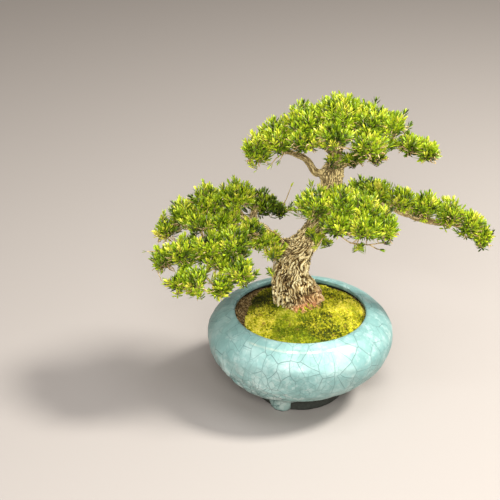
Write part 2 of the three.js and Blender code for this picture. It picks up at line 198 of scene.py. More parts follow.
def newFinish(name, **sockets):
    finish = bpy.data.materials.new(name)
    finish.use_nodes = True
    shader = finish.node_tree.nodes["Principled BSDF"]
    for key, value in sockets.items():
        shader.inputs[key.replace("_", " ")].default_value = value
    return finish, finish.node_tree


def surface(tree, colour, height, depth, strength, roughness=None):
    # ends a finish with its colour, its fine relief, depth metres deep, and a roughness that varies
    shader = tree.nodes["Principled BSDF"].inputs
    relief = addNode(tree, "ShaderNodeBump", {"Height": height, "Distance": depth, "Strength": strength})
    tree.links.new(colour, shader["Base Color"])
    tree.links.new(relief.outputs[0], shader["Normal"])
    if roughness:
        tree.links.new(roughness, shader["Roughness"])


def objectPlace(tree):
    return addNode(tree, "ShaderNodeTexCoord").outputs["Object"]


def storedValue(tree, name, output="Fac"):
    # a value that the mesh carries, in a finish
    return addNode(tree, "ShaderNodeAttribute", attribute_name=name).outputs[output]


def carried(tree, name, kind="FLOAT"):
    # a value that the mesh carries, in a geometry tree
    return addNode(tree, "GeometryNodeInputNamedAttribute", {"Name": name}, data_type=kind).outputs[0]


def cloud(tree, place, scale, detail=3, rough=0.55, output="Fac"):
    feeds = {"Vector": place, "Scale": scale, "Detail": detail, "Roughness": rough}
    return addNode(tree, "ShaderNodeTexNoise", feeds).outputs[output]


def cells(tree, place, scale, output="Distance", randomness=1.0, **settings):
    feeds = {"Vector": place, "Scale": scale, "Randomness": randomness}
    return addNode(tree, "ShaderNodeTexVoronoi", feeds, **settings).outputs[output]


def spread(tree, value, low, high, toLow=0.0, toHigh=1.0):
    feeds = {0: value, 1: low, 2: high, 3: toLow, 4: toHigh}
    return addNode(tree, "ShaderNodeMapRange", feeds, interpolation_type="SMOOTHSTEP").outputs[0]


def patchy(tree, place, kind, low, high, toLow=0.0, toHigh=1.0):
    # soft-edged patches of a cloud, whose kind is its scale, detail and roughness
    return spread(tree, cloud(tree, place, *kind), low, high, toLow, toHigh)


def maths(tree, operation, first, *others):
    # the same operation with one value after the other
    for other in others:
        first = addNode(tree, "ShaderNodeMath", {0: first, 1: other}, operation=operation).outputs[0]
    return first


def times(tree, first, *others):
    return maths(tree, "MULTIPLY", first, *others)


def vectorMaths(tree, operation, first, second):
    # second is a vector, or the factor of SCALE
    feeds = {0: first, "Scale" if operation == "SCALE" else 1: second}
    return addNode(tree, "ShaderNodeVectorMath", feeds, operation=operation).outputs[0]


def layered(tree, colour, *coats):
    # each coat: how much of it shows, and its colour, from a socket or as a screen shows it
    for share, coat in coats:
        coat = coat if isinstance(coat, bpy.types.NodeSocket) else paint(*coat)
        feeds = {0: share, 6: colour, 7: coat}
        colour = addNode(tree, "ShaderNodeMix", feeds, data_type="RGBA").outputs[2]
    return colour


def colourSteps(tree, value, stops):
    # stops: where from 0 to 1, and a colour as a screen shows it
    ramp = addNode(tree, "ShaderNodeValToRGB", {0: value})
    marks = ramp.color_ramp.elements
    while len(marks) < len(stops):
        marks.new(0.5)
    for mark, (where, colour) in zip(marks, stops):
        mark.position = where
        mark.color = paint(*colour)
    return ramp.outputs[0]


def mottled(name, tones, patches, relief, strength, depth=0.0003, **sockets):
    # a plain finish: patches and relief give the scale and detail of their clouds
    finish, tree = newFinish(name, **sockets)
    place = objectPlace(tree)
    colour = colourSteps(tree, cloud(tree, place, *patches), tones)
    surface(tree, colour, cloud(tree, place, *relief), depth, strength)
    return finish


# The camera, at the photograph's angle, with floor and light

studio = {
    "cameraFromAxis": (-0.05986, -1.22026, 0.80989),  # m from the foot of the bowl's axis
    "cameraPitch": 63,  # degrees, where 90 is level
    "lens": 85,
    "sensor": 36,
    "lightsAim": (0, 0, 0.15),
    "floorHalf": 30,  # m from the middle to an edge
    "floorColour": (158, 153, 149),
    "floorGrain": (205, 196, 188),
    "roomColour": (204, 194, 184),
    "roomStrength": 0.56,
}
# each light: place from the bowl's axis in metres, size in metres, watts, colour
studioLights = {
    "keyRight": ((1.30, -0.10, 1.85), 0.50, 79, (255, 250, 242)),
    "fillFront": ((-0.05, -1.60, 1.15), 0.70, 29, (255, 252, 248)),
    "topSoft": ((0.10, -0.50, 1.70), 1.20, 16, (252, 252, 255)),
}


def palePaper():
    finish, tree = newFinish("palePaper", Roughness=0.8)
    grain = patchy(tree, objectPlace(tree), (900, 2), 0.3, 0.7, 0, 0.05)
    colour = layered(tree, paint(*studio["floorColour"]), (grain, studio["floorGrain"]))
    tree.links.new(colour, tree.nodes["Principled BSDF"].inputs["Base Color"])
    return finish


def makeStudio():
    foot = Vector((potAxis.x, potAxis.y, 0))
    camera = bpy.data.objects.new("photoCamera", bpy.data.cameras.new("photoCamera"))
    camera.data.lens = studio["lens"]
    camera.data.sensor_width = studio["sensor"]
    camera.location = foot + Vector(studio["cameraFromAxis"])
    camera.rotation_euler = (math.radians(studio["cameraPitch"]), 0, 0)
    scene.collection.objects.link(camera)
    scene.camera = camera
    for name, (where, size, watts, colour) in studioLights.items():
        lamp = bpy.data.lights.new(name, "AREA")
        lamp.shape = "DISK"
        lamp.size = size
        lamp.energy = watts
        lamp.color = paint(*colour)[:3]
        holder = newObject(name, lamp)
        holder.location = foot + Vector(where)
        towards = Vector(studio["lightsAim"]) - holder.location
        holder.rotation_euler = towards.to_track_quat("-Z", "Y").to_euler()
    half = studio["floorHalf"]
    corners = [(-half, -half, 0), (half, -half, 0), (half, half, 0), (-half, half, 0)]
    floor = newPiece("paleFloor", corners, [(0, 1, 2, 3)], smooth=False)
    floor.data.materials.append(palePaper())
    room = bpy.data.worlds.new("softRoom")
    room.use_nodes = True
    sky = room.node_tree.nodes["Background"].inputs
    sky["Color"].default_value = paint(*studio["roomColour"])
    sky["Strength"].default_value = studio["roomStrength"]
    scene.world = room
    scene.view_settings.view_transform = "Standard"


makeStudio()
print("camera, floor and light are set")


# The bowl: a soft hand-formed round, thick glaze that ends in a rolled edge, and three feet

bowl = {
    "around": 240,
    "stepsBetween": 4,  # rows of points from one point of the profile to the next
    "hand": 0.6,  # how far the round is off, where 0 is a perfect one
    "offRound": (0.7, 0.5),  # mm, twice and three times round
    "dents": 0.8,
    "dentSize": 17,  # mm
    "wideDents": (0.9, 3.4),  # mm, and how much more where the wall is rough
    "smallDents": (0.35, 2.2),
    "roughTurn": (4.1, 0.8),  # where the wall is most uneven, and how wide: radians round the bowl
    "roughHeight": (46, 30),  # and mm above the floor
    "evenInside": 20,  # radius in mm up to which the underside is even
    "evenFade": 30,  # mm from there to the full unevenness
    "lumps": 1.6,  # mm, low on the wall
    "lumpHeight": (14, 10),
    "lipHeight": (110, 6),
    "lipEven": 0.75,  # how much more even the lip is than the wall
    "lineHeight": (105.4, 0.8),  # a raised line runs round below the lip
    "lineRise": 0.5,
    "glazeEdge": 31,  # mm above the floor, where the thick glaze stopped running
    "edgeWaves": [(4.5, 2, 2.8), (2.4, 5, 2.1), (1.4, 11, 0)],  # mm, times round, start in radians
    "edgeRoll": 0.7,
    "rollRise": 1.3,  # mm
    "rollHeight": (1.2, 1.6),  # mm above that line
    "edgeStep": (0.5, -0.2),  # mm that the glaze stands out above its edge, and below it
    "thickHeight": (1.0, 2.2),  # mm above the edge, where the glaze is thickest
    "sag": 6,  # mm that the glaze hangs over the foot ring on the left
    "sagTurn": (4.0, 0.55),
    "sagHeight": (26, 12),
    "sagFrom": 57,  # mm from the axis
    "sagFade": 8,
    "shoulder": 95,  # mm above the floor
    "lifts": (0.25, -0.15),  # how much a push also lifts the wall, above the shoulder and below it
    "ringRadius": 57.6,  # the foot ring is bare clay within this radius and below this height
    "ringHeight": 21,
    "glazedInside": 95,  # the inside is bare below this height
    "firstInside": (78.4, 109.4),  # the point of the profile from which on the wall counts as inside
    "crackMean": 100,  # radius that the crack pattern is laid out on, in mm
    "mapOpenings": {"cracksFromBack": 0.25, "cracksFromFront": 0.75},  # share of a turn from the right
}
# radius and height in mm, from the drain hole outwards, up the wall, over the lip and down inside
bowlProfile = [
    (13, 10), (30, 10), (43, 9.6), (45.6, 5), (47, 1.8), (50, 1.2), (53.4, 1.6), (55.4, 4.6), (56, 12),
    (57.4, 20.4), (64, 24.2), (74, 29.2), (84, 35.2), (91.8, 41.6), (98, 48.2), (103, 55.4), (106.5, 63),
    (109, 71), (110, 79), (109.7, 85), (108, 90), (104.4, 95.5), (99.5, 100.5),
    (94, 104.4), (88, 107.5), (84, 109.4), (81, 110), (78.4, 109.4), (77.8, 107.6), (79.5, 103.4), (92, 95),
    (100.5, 84.5), (102.5, 74), (97.5, 58), (82, 41.5), (60, 27.5), (44, 18.5), (27, 17), (13, 17),
]
feet = {
    "count": 3,
    "turn": -26,  # degrees from the front to the first foot
    "reach": 51,  # mm from the axis to the middle of a foot
    "sides": 40,
    "depthShare": 0.76,  # of a foot's width
    "profile": [
        (0.02, 0), (6, 0), (10, 0), (11.6, 1.8), (12.6, 5), (13.6, 10), (15, 16), (12, 20.5), (0.02, 22),
    ],
    "worn": 1.2,  # mm above the floor, up to which the clay is bare
    "glazedFrom": 3,
    "glaze": 0.35,  # how thick it is there, from 0 to 1
}


def smoothLoop(points, steps):
    # a closed smooth curve through the points
    points = np.array(points, float)
    shifted = [np.roll(points, shift, 0) for shift in (1, 0, -1, -2)]
    rows = [curveBetween(*shifted, step / steps) for step in range(steps)]
    return np.stack(rows, 1).reshape(-1, points.shape[1])


def aboveGlazeEdge(turn, height):
    # mm above the wavy line where the thick glaze stopped running
    waves = (size * math.sin(turn * count + start) for size, count, start in bowl["edgeWaves"])
    return height - sum(waves, bowl["glazeEdge"])


def wallPush(turn, radius, height):
    # how far the wall and its glaze stand out from the profile, in mm
    twice, thrice = bowl["offRound"]
    hand = twice * math.sin(turn * 2 + 1) + thrice * math.sin(turn * 3 + height / 25)
    rough = bump(turn, *bowl["roughTurn"]) * bump(height, *bowl["roughHeight"])
    where = Vector((*onCircle(turn, radius), height)) / bowl["dentSize"]
    wide, wider = bowl["wideDents"]
    small, larger = bowl["smallDents"]
    dents = noise.noise(where) * (wide + wider * rough) + noise.noise(where * 2.3) * (small + larger * rough)
    above = aboveGlazeEdge(turn, height)
    glazed, unglazed = bowl["edgeStep"]
    roll = bowl["rollRise"] * bump(above, *bowl["rollHeight"]) + (glazed if above > 0 else unglazed)
    lumps = bowl["lumps"] * noise.noise(where * 2.6) * bump(height, *bowl["lumpHeight"])
    push = hand * bowl["hand"] + dents * bowl["dents"] + roll * bowl["edgeRoll"] + lumps
    push *= clamped((radius - bowl["evenInside"]) / bowl["evenFade"])
    push *= 1 - bowl["lipEven"] * bump(height, *bowl["lipHeight"])
    return push + bowl["lineRise"] * bump(height, *bowl["lineHeight"])


def wallPoints(profile):
    # the wall's points, with 1 where the clay is bare, and how thick the glaze is
    lipRow = bowlProfile.index(bowl["firstInside"]) * bowl["stepsBetween"]
    liftAbove, liftBelow = bowl["lifts"]
    points, bare, thick = [], [], []
    for row, (radius, height) in enumerate(profile):
        outside = row < lipRow
        for turn in anglesRound(bowl["around"]):
            push = wallPush(turn, radius, height) if outside else 0
            sag = bowl["sag"] * bump(turn, *bowl["sagTurn"]) * bump(height, *bowl["sagHeight"])
            sag *= outside * clamped((radius - bowl["sagFrom"]) / bowl["sagFade"])
            rise = push * (liftAbove if height > bowl["shoulder"] else liftBelow)
            points.append((*onCircle(turn, radius + push), height - sag + rise))
            onRing = radius < bowl["ringRadius"] and height < bowl["ringHeight"]
            bare.append(1 if onRing or not outside and height < bowl["glazedInside"] else 0)
            thick.append(bump(aboveGlazeEdge(turn, height), *bowl["thickHeight"]) * outside)
    return points, bare, thick


def footPoints(number):
    heading = math.radians(feet["turn"] - 90 + 360 * number / feet["count"])
    outward = Vector((math.cos(heading), math.sin(heading), 0))
    tangent = Vector((-outward.y, outward.x, 0))
    points = []
    for radius, height in feet["profile"]:
        for turn in anglesRound(feet["sides"]):
            lumps = 0.10 * math.sin(turn * 3 + number) * min(1, height / 6)
            lumpy = 1 + lumps + 0.05 * math.sin(turn * 7 + height)
            spot = outward * (feet["reach"] + math.sin(turn) * radius * feet["depthShare"] * lumpy)
            spot += tangent * math.cos(turn) * radius * lumpy
            points.append((spot.x, spot.y, height))
    return points


def addCrackMaps(mesh, places, profile, wallCorners):
    # maps of the wall for the cracks, in metres: one opens at the back and one at the front
    sides = bowl["around"]
    steps = np.linalg.norm(np.diff(profile, axis=0), axis=1)
    run = np.concatenate([[0], np.cumsum(steps)])
    corner = np.empty(len(mesh.loops), int)
    mesh.loops.foreach_get("vertex_index", corner)
    footPlaces = places[corner[wallCorners:]] * mm
    corner = corner[:wallCorners]
    for name, opening in bowl["mapOpenings"].items():
        column = ((corner % sides - round(opening * sides)) % sides).reshape(-1, 4)
        crossing = (column.max(1) - column.min(1) > sides / 2)[:, None]
        column = np.where(crossing & (column < sides / 2), column + sides, column).ravel()
        across = column / sides * 2 * math.pi * bowl["crackMean"] * mm
        wall = np.stack([across, run[corner // sides] * mm], 1)
        spots = np.concatenate([wall, footPlaces[:, [0, 2]] + footPlaces[:, [1]]])
        mesh.uv_layers.new(name=name).data.foreach_set("uv", spots.astype(np.float32).ravel())


def makeBowl(finish):
    profile = smoothLoop(bowlProfile, bowl["stepsBetween"])
    points, bare, thick = wallPoints(profile)
    wallFaces = flipped(ringFaces(len(profile), bowl["around"], True))
    parts = [(points, wallFaces)]
    for number in range(feet["count"]):
        points = footPoints(number)
        parts.append((points, tubeFaces(len(feet["profile"]), feet["sides"])))
        bare += [1 if height < feet["worn"] else 0 for _, _, height in points]
        thick += [feet["glaze"] if height > feet["glazedFrom"] else 0 for _, _, height in points]
    joined, faces = joinMeshes(parts)
    rear = joined[:, 1] / np.maximum(np.hypot(joined[:, 0], joined[:, 1]), 1)
    mesh = newMesh("celadonBowl", placed(joined), faces, rear=rear, bare=bare, thick=thick)
    addCrackMaps(mesh, joined, profile, len(wallFaces) * 4)
    mesh.materials.append(finish)
    dress(newObject("celadonBowl", mesh), "glaze", "pot")


# the glaze, with colours as a screen shows them, and heights and widths in metres
glaze = {
    "tones": [
        (0.30, (98, 138, 135)), (0.45, (122, 161, 158)), (0.60, (142, 179, 176)), (0.8, (166, 197, 193)),
    ],
    # painted shade: darkens the right of the bowl, which the key light lights most
    "paintedShadeRight": (108, 150, 148),
    "haze": (178, 202, 199),
    "milk": (184, 206, 202),
    "runs": (130, 172, 168),
    # painted highlight: pale flecks low on the left of the wall, for broken glints on its dents
    "paintedGlints": (204, 220, 216),
    # painted light: paler low on the wall, for light thrown up from the floor
    "lowest": (150, 168, 160),
    # painted highlight: a pale arc along the front of the lip
    "lipHighlight": (206, 208, 186),
    "pools": (186, 206, 198),
    "cracks": (62, 88, 88),
    # the bare clay is near black: its own dark colour, with painted shade under the bowl
    "clay": [(34, 38, 34), (70, 74, 68)],
    "wideCracks": (64, 0.032, 0.8),  # cells to the metre, width as a share of a cell, and strength
    "fineCracks": (125, 0.06, 0.85),
    "crackStretch": 0.72,
    "crackSway": 0.013,
    "fineFades": (0.05, 0.085),  # the fine cracks grow fainter between these heights
    "lipHighlightBelow": (0.1046, 0.1054),  # painted highlight: the pale line round the front of the lip starts and ends softly
    "lipHighlightAbove": (0.1058, 0.1066),
    "roughness": (0.48, 0.85),  # of the glaze and of the bare clay
}


def crackLines(tree, mapName, fineShare):
    # wide cracks and fainter fine ones between them, on one of the bowl's maps
    flat = addNode(tree, "ShaderNodeUVMap", uv_map=mapName).outputs[0]
    tall = vectorMaths(tree, "MULTIPLY", flat, (1, glaze["crackStretch"], 1))
    sway = vectorMaths(tree, "SUBTRACT", cloud(tree, tall, 24, 2, output="Color"), (0.5, 0.5, 0.5))
    bent = vectorMaths(tree, "ADD", tall, vectorMaths(tree, "SCALE", sway, glaze["crackSway"]))

    def cracks(scale, width, strength):
        settings = {"feature": "DISTANCE_TO_EDGE", "voronoi_dimensions": "2D"}
        distance = cells(tree, bent, scale, randomness=0.9, **settings)
        return spread(tree, distance, width * 0.3, width, strength, 0)

    fadeWide = patchy(tree, tall, (30, 2), 0.34, 0.56, 0.3, 1.0)
    fadeFine = patchy(tree, bent, (21, 2), 0.38, 0.56)
    wide = times(tree, cracks(*glaze["wideCracks"]), fadeWide)
    fine = times(tree, cracks(*glaze["fineCracks"]), fadeFine, fineShare)
    return maths(tree, "MAXIMUM", wide, fine)


def crackleOfWall(tree, height):
    # the map that opens at the back serves the front half of the wall, and the other one the back
    fineShare = spread(tree, height, *glaze["fineFades"], 1.0, 0.35)
    onBack = spread(tree, storedValue(tree, "rear"), 0.55, 0.9)
    fromFront = times(tree, crackLines(tree, "cracksFromFront", fineShare), onBack)
    onFront = maths(tree, "SUBTRACT", 1.0, onBack)
    fromBack = times(tree, crackLines(tree, "cracksFromBack", fineShare), onFront)
    return maths(tree, "ADD", fromFront, fromBack)


def celadonCrackle():
    finish, tree = newFinish("celadonCrackle", Coat_Weight=0.14, Coat_Roughness=0.18, Specular_IOR_Level=0.3)
    place = objectPlace(tree)
    rightward, _, height = addNode(tree, "ShaderNodeSeparateXYZ", {0: place}).outputs
    lines = crackleOfWall(tree, height)
    streaky = vectorMaths(tree, "MULTIPLY", place, (1, 1, 0.3))
    nearFoot = spread(tree, height, 0.045, 0.1, 1, 0)
    onLeft = spread(tree, rightward, -0.06, 0.01, 1, 0.25)
    flecks = patchy(tree, place, (74, 4, 0.65), 0.5, 0.57, 0, 0.7)
    lipStart = spread(tree, height, *glaze["lipHighlightBelow"])
    lipEnd = spread(tree, height, *glaze["lipHighlightAbove"], 1, 0)
    front = spread(tree, storedValue(tree, "rear"), -0.92, -0.7, 1, 0)
    broken = patchy(tree, place, (60, 2), 0.38, 0.6, 0.2, 0.9)
    wall = layered(
        tree, colourSteps(tree, cloud(tree, place, 15, 4, 0.6), glaze["tones"]),
        # painted shade on the right of the bowl
        (spread(tree, rightward, -0.02, 0.045, 0, 0.5), glaze["paintedShadeRight"]),
        (patchy(tree, place, (34, 3, 0.6), 0.5, 0.66, 0, 0.32), glaze["haze"]),
        (patchy(tree, place, (85, 3, 0.7), 0.5, 0.7, 0, 0.4), glaze["milk"]),
        (patchy(tree, streaky, (110, 3, 0.6), 0.52, 0.7, 0, 0.3), glaze["runs"]),
        # painted highlight: pale glints low on the left of the wall
        (times(tree, nearFoot, onLeft, flecks), glaze["paintedGlints"]),
        # painted light: paler low on the wall, for light thrown up from the floor
        (spread(tree, height, 0.022, 0.055, 0.4, 0), glaze["lowest"]),
        # painted highlight along the front of the lip
        (times(tree, lipStart, lipEnd, front, broken), glaze["lipHighlight"]),
        (times(tree, storedValue(tree, "thick"), 0.45), glaze["pools"]),
        (times(tree, lines, spread(tree, height, 0.025, 0.07, 1.0, 0.7)), glaze["cracks"]),
    )
    # bare clay: its own dark colour, with painted shade under the bowl
    dark, pale = glaze["clay"]
    clay = layered(tree, paint(*dark), (cloud(tree, place, 420, 3), pale))
    bare = storedValue(tree, "bare")
    ripples = maths(tree, "ADD", cloud(tree, place, 52, 3, 0.5), times(tree, lines, -0.10))
    roughness = spread(tree, bare, 0, 1, *glaze["roughness"])
    surface(tree, layered(tree, wall, (bare, clay)), ripples, 0.0032, 0.75, roughness)
    return finish


makeBowl(celadonCrackle())
print("bowl is made")


# The wood: trunk, limbs and roots as one corky body, from the same paths as the solids
# each point: x, y, z from the bowl's axis and radius, in mm

limbs = {
    "trunk": [
        (-3, 18, 66, 9), (-3, 19, 92, 21), (-3, 19, 110, 29.5), (-5, 17, 121, 26.5), (-9, 14, 136, 24),
        (-11.5, 13, 149, 20.8), (-8, 12, 164, 18.8), (-4.5, 11, 180, 17.6), (10, 11, 200, 13.8),
        (21, 11, 221, 12.8), (30, 11, 246, 13),
        (32, 10, 264, 10), (33.5, 9, 279, 13), (36, 8, 292, 9.6), (37, 6, 306, 6.2), (39, 2, 328, 4.4),
        (40, 0, 346, 3),
    ],
    "leftLimb": [
        (0, 11, 172, 13), (-14, 9, 185, 12), (-27, 8, 190, 9.5), (-36, 7, 199, 8), (-46, 7, 211, 7),
        (-58, 7, 217, 6.4), (-76, 9, 228, 5.4), (-102, 10, 233, 4.2), (-130, 10, 227, 3.3),
        (-152, 9, 214, 2.4),
    ],
    "cascade": [
        (28, 11, 240, 10), (56, 13, 249, 6.4), (87, 13, 246, 5.4), (114, 12, 233, 4.8), (148, 11, 220, 4.1),
        (178, 10, 217, 3.4), (202, 8, 207, 2.6),
    ],
    "leftLower": [
        (-56, 6, 216, 5.2), (-78, -14, 213, 4.6), (-106, -28, 205, 4), (-132, -31, 198, 3),
        (-150, -31, 192, 2.2),
    ],
    "leftFront": [(-88, -19, 210, 4), (-102, -38, 192, 3), (-112, -50, 182, 2.2)],
    "leftInner": [(-57, 4, 217, 4.8), (-65, -24, 207, 3.5), (-69, -46, 196, 2.2)],
    "backLeft": [(-57, 8, 218, 5.2), (-55, 30, 222, 4.4), (-48, 48, 229, 3)],
    "frontRight": [
        (24, 10, 230, 9), (38, -16, 243, 7), (56, -36, 249, 5.5), (74, -42, 247, 4), (86, -42, 244, 2.6),
    ],
    "frontLeft": [(29, -3, 237, 5.5), (24, -28, 252, 4), (16, -42, 262, 2.5)],
    "frontLow": [(48, -28, 247, 4), (54, -46, 246, 3.2), (60, -58, 245, 2.2)],
    "backRight": [(32, 12, 246, 6.5), (48, 34, 246, 4.8), (64, 46, 243, 3)],
    "apexLeft": [
        (30, 9, 279, 6), (14, 6, 284, 4.4), (4, 3, 299, 3.8), (-8, 1, 307, 3.4), (-26, 0, 313, 2.9),
        (-44, -2, 316, 2.2),
    ],
    "apexRight": [
        (36, 9, 288, 6.4), (58, 5, 303, 4.6), (80, 2, 314, 4), (104, 0, 320, 3.2), (128, -1, 314, 2.4),
    ],
    "apexCrownLeft": [(37, 6, 304, 4.6), (18, 2, 322, 3.6), (6, 0, 335, 2.5)],
    "apexCrownRight": [(58, 5, 303, 4), (66, 2, 322, 3.3), (70, 0, 338, 2.5)],
    "underApex": [(35, 5, 296, 4), (33, -7, 303, 3), (31, -14, 306, 2)],
    "upperInner": [(-70, 9, 226, 5), (-75, 11, 236, 3.6), (-74, 12, 247, 2.4)],
    "trunkShoot": [(-8, 5, 184, 3.8), (-21, -4, 188, 3), (-31, -9, 191, 2.2)],
    "apexBack": [(37, 8, 300, 5.5), (44, 30, 316, 4), (48, 42, 326, 2.5)],
}
# roots: heading in degrees, reach and radius in mm, from the foot of the trunk
roots = {"rootFront": (-102, 40, 8), "rootRight": (8, 40, 8.5), "rootBack": (75, 40, 8)}
rootsFrom = (-5, 17)
# along each root: share of its reach, height in mm, share of its radius
rootSteps = ((0.25, 128, 0.9), (0.55, 115, 1), (0.8, 104, 0.75), (1, 91, 0.4))
bark = {
    "voxel": 1.0,  # mm
    "sample": 2.0,  # mm between the points that a path is followed by
    "trunkSides": 26,
    "limbSides": 12,
    "ridges": 9,
    "ridgeSwell": 0.06,  # shares of the trunk's radius
    "lobeSwell": 0.05,
    "fullRadius": 22,  # mm, where the plates and furrows have their full size
    "plateWidth": 3.5,  # mm
    "plateStretch": 9.0,  # length of a plate in widths
    "twist": -0.006,  # turn of the furrows round the trunk, in radians a mm
    "depth": 3.7,  # on the trunk, in mm
    "lift": 0.62,  # share of the depth that the furrows go below the limb's own round
}


def rootPath(heading, reach, radius):
    points = []
    for share, height, size in rootSteps:
        x = rootsFrom[0] + math.cos(math.radians(heading)) * reach * share
        y = rootsFrom[1] + math.sin(math.radians(heading)) * reach * share
        points.append((x, y, height, radius * size))
    return points


for rootName, root in roots.items():
    limbs[rootName] = rootPath(*root)


def followPath(path):
    # points every few mm along a smooth curve through the path, with radii, frames, run and marks
    path = np.array(path, float)
    ends = np.concatenate([[2 * path[0] - path[1]], path, [2 * path[-1] - path[-2]]])
    rows, marks = [], []
    for i in range(len(path) - 1):
        near = ends[i:i + 4]
        count = max(2, round(np.linalg.norm(near[2][:3] - near[1][:3]) / bark["sample"]))
        for step in range(count + (i == len(path) - 2)):
            rows.append(curveBetween(*near, step / count))
            marks.append(i + step / count)
    rows = np.array(rows)
    tangents = np.gradient(rows[:, :3], axis=0)
    tangents /= np.linalg.norm(tangents, axis=1)[:, None]
    run = np.concatenate([[0], np.cumsum(np.linalg.norm(np.diff(rows[:, :3], axis=0), axis=1))])
    across = np.zeros_like(tangents)
    side = np.array([1.0, 0, 0])
    for i, tangent in enumerate(tangents):
        side = side - tangent * side.dot(tangent)
        side /= np.linalg.norm(side)
        across[i] = side
    return rows[:, :3], rows[:, 3], tangents, across, np.cross(tangents, across), run, np.array(marks)


followed = {name: followPath(path) for name, path in limbs.items()}

# all the followed points of the wood in one column each
woodColumns = [np.concatenate(column) for column in zip(*followed.values())]
woodSpots, woodRadii = woodColumns[:2]


def limbTube(name):
    spots, radii, _, across, upward, _, marks = followed[name]
    isTrunk = name == "trunk"
    sides = bark["trunkSides"] if isTrunk else bark["limbSides"]
    points = []
    for spot, radius, first, second, mark in zip(spots, radii, across, upward, marks):
        for turn in anglesRound(sides):
            ridges = bark["ridgeSwell"] * math.cos(bark["ridges"] * turn + 1.3 * mark)
            lobes = bark["lobeSwell"] * math.sin(3 * turn + 0.9 * mark)
            reach = radius * (1 + ridges + lobes) if isTrunk else radius
            points.append(spot + (first * math.cos(turn) + second * math.sin(turn)) * reach)
    return points, tubeFaces(len(spots), sides)


def nearestWood(points):
    # for each point in mm: the followed point whose surface is nearest
    best = np.empty(len(points), int)
    chunk = 4000  # points at a time, which spares memory
    for start in range(0, len(points), chunk):
        gaps = np.linalg.norm(points[start:start + chunk, None] - woodSpots[None], axis=2) - woodRadii[None]
        best[start:start + chunk] = gaps.argmin(1)
    return best


def storeGrain(mesh):
    # where each point lies in the grain of its limb, how thick that is, and how deep its furrows go
    places = np.empty(len(mesh.vertices) * 3)
    mesh.vertices.foreach_get("co", places)
    spots = (places.reshape(-1, 3) - np.array([potAxis.x, potAxis.y, 0])) / mm
    nearest = nearestWood(spots)
    base, radii, tangents, across, upward, run, _ = (column[nearest] for column in woodColumns)
    away = spots - base
    along = run + (away * tangents).sum(1)
    turned = along * bark["twist"]
    first, second = (away * across).sum(1), (away * upward).sum(1)
    a = first * np.cos(turned) - second * np.sin(turned)
    b = first * np.sin(turned) + second * np.cos(turned)
    size = np.clip(radii / bark["fullRadius"], 0.12, 1.2)
    width = bark["plateWidth"] * (0.45 + 0.55 * np.clip(size, 0, 1))
    wave = np.clip(size, 0.2, 1)
    # the grain wavers by a mm or two along a limb
    wander = (1.9 * np.sin(along / 6.3 + a / 5 + b / 7) + 0.8 * np.sin(along / 2.1 + b / 3)) * wave
    sway = (1.5 * np.sin(along / 7.7 + a / 6) + 0.6 * np.sin(along / 2.6 + a / 4)) * wave
    grain = np.stack([(a + wander) / width, (b + sway) / width, along / (width * bark["plateStretch"])], 1)
    relief = bark["depth"] * size**0.75 * mm
    girth = np.clip(radii / bark["fullRadius"], 0, 1)
    for key, values in (("relief", relief), ("girth", girth)):
        mesh.attributes.new(key, "FLOAT", "POINT").data.foreach_set("value", values.astype(np.float32))
    grains = mesh.attributes.new("grain", "FLOAT_VECTOR", "POINT").data
    grains.foreach_set("vector", grain.astype(np.float32).ravel())


def makeWood(finish):
    joined, faces = joinMeshes([limbTube(name) for name in limbs])
    piece = newPiece("corkyWood", placed(joined), faces)
    modifier = piece.modifiers.new("oneBody", "REMESH")
    modifier.mode = "VOXEL"
    modifier.voxel_size = bark["voxel"] * mm
    modifier.use_smooth_shade = True
    makePlain(piece, modifier)
    storeGrain(piece.data)
    runTree(piece, reliefTree(), {"Lift": bark["lift"], "Bark Finish": finish})
    piece.data.polygons.foreach_set("use_smooth", [True] * len(piece.data.polygons))
    dress(piece, "bark", "trunk_and_branches")


def furrowDistance(tree, grain):
    # how far a spot is from the nearest furrow, in widths of a plate; the same in relief and finish
    plates = cells(tree, grain, 0.9, feature="DISTANCE_TO_EDGE")
    broken = maths(tree, "ADD", plates, patchy(tree, grain, (1.3, 2), 0.45, 0.65, 0, 0.14))
    folds = maths(tree, "ABSOLUTE", maths(tree, "SUBTRACT", cloud(tree, grain, 0.75, 2, 0.5), 0.5), 0)
    return maths(tree, "MINIMUM", broken, times(tree, folds, 3.6))


def reliefTree():
    # pushes the wood out where there is a plate of bark and in where there is a furrow
    tree, sockets = newGeometryTree("barkRelief", [("Lift", "Float"), ("Bark Finish", "Material")])
    grain = carried(tree, "grain", "FLOAT_VECTOR")
    plates = spread(tree, furrowDistance(tree, grain), 0.0, 0.24)
    lumps = maths(tree, "SUBTRACT", cloud(tree, grain, 1.4, 2, 0.5), 0.5)
    level = maths(tree, "ADD", plates, times(tree, lumps, 0.9))
    push = times(tree, maths(tree, "SUBTRACT", level, sockets["Lift"]), carried(tree, "relief"))
    offset = vectorMaths(tree, "SCALE", addNode(tree, "GeometryNodeInputNormal").outputs[0], push)
    moved = addNode(tree, "GeometryNodeSetPosition", {"Geometry": sockets["Geometry"], "Offset": offset})
    endGeometryTree(tree, moved.outputs[0], sockets["Bark Finish"])
    return tree


barkTones = {
    # darkest deep in the furrows: the bark's own darker furrows, with painted shade at their bottom
    "furrowToRidge": [
        (0.0, (16, 10, 4)), (0.24, (70, 50, 24)), (0.46, (216, 186, 116)), (1.0, (255, 244, 194)),
    ],
    "streaks": (118, 90, 48),
    "worn": (222, 200, 142),
    "golden": (255, 232, 164),  # painted light: on the ridges higher up the trunk, where the canopy shades it
    "paintedLightFrom": (0.16, 0.26),  # m above the floor
    "reddish": (206, 140, 92),  # on the right of the trunk's foot
    "reddishUpTo": (0.112, 0.144),
    "slender": (150, 124, 80),  # thin limbs
}


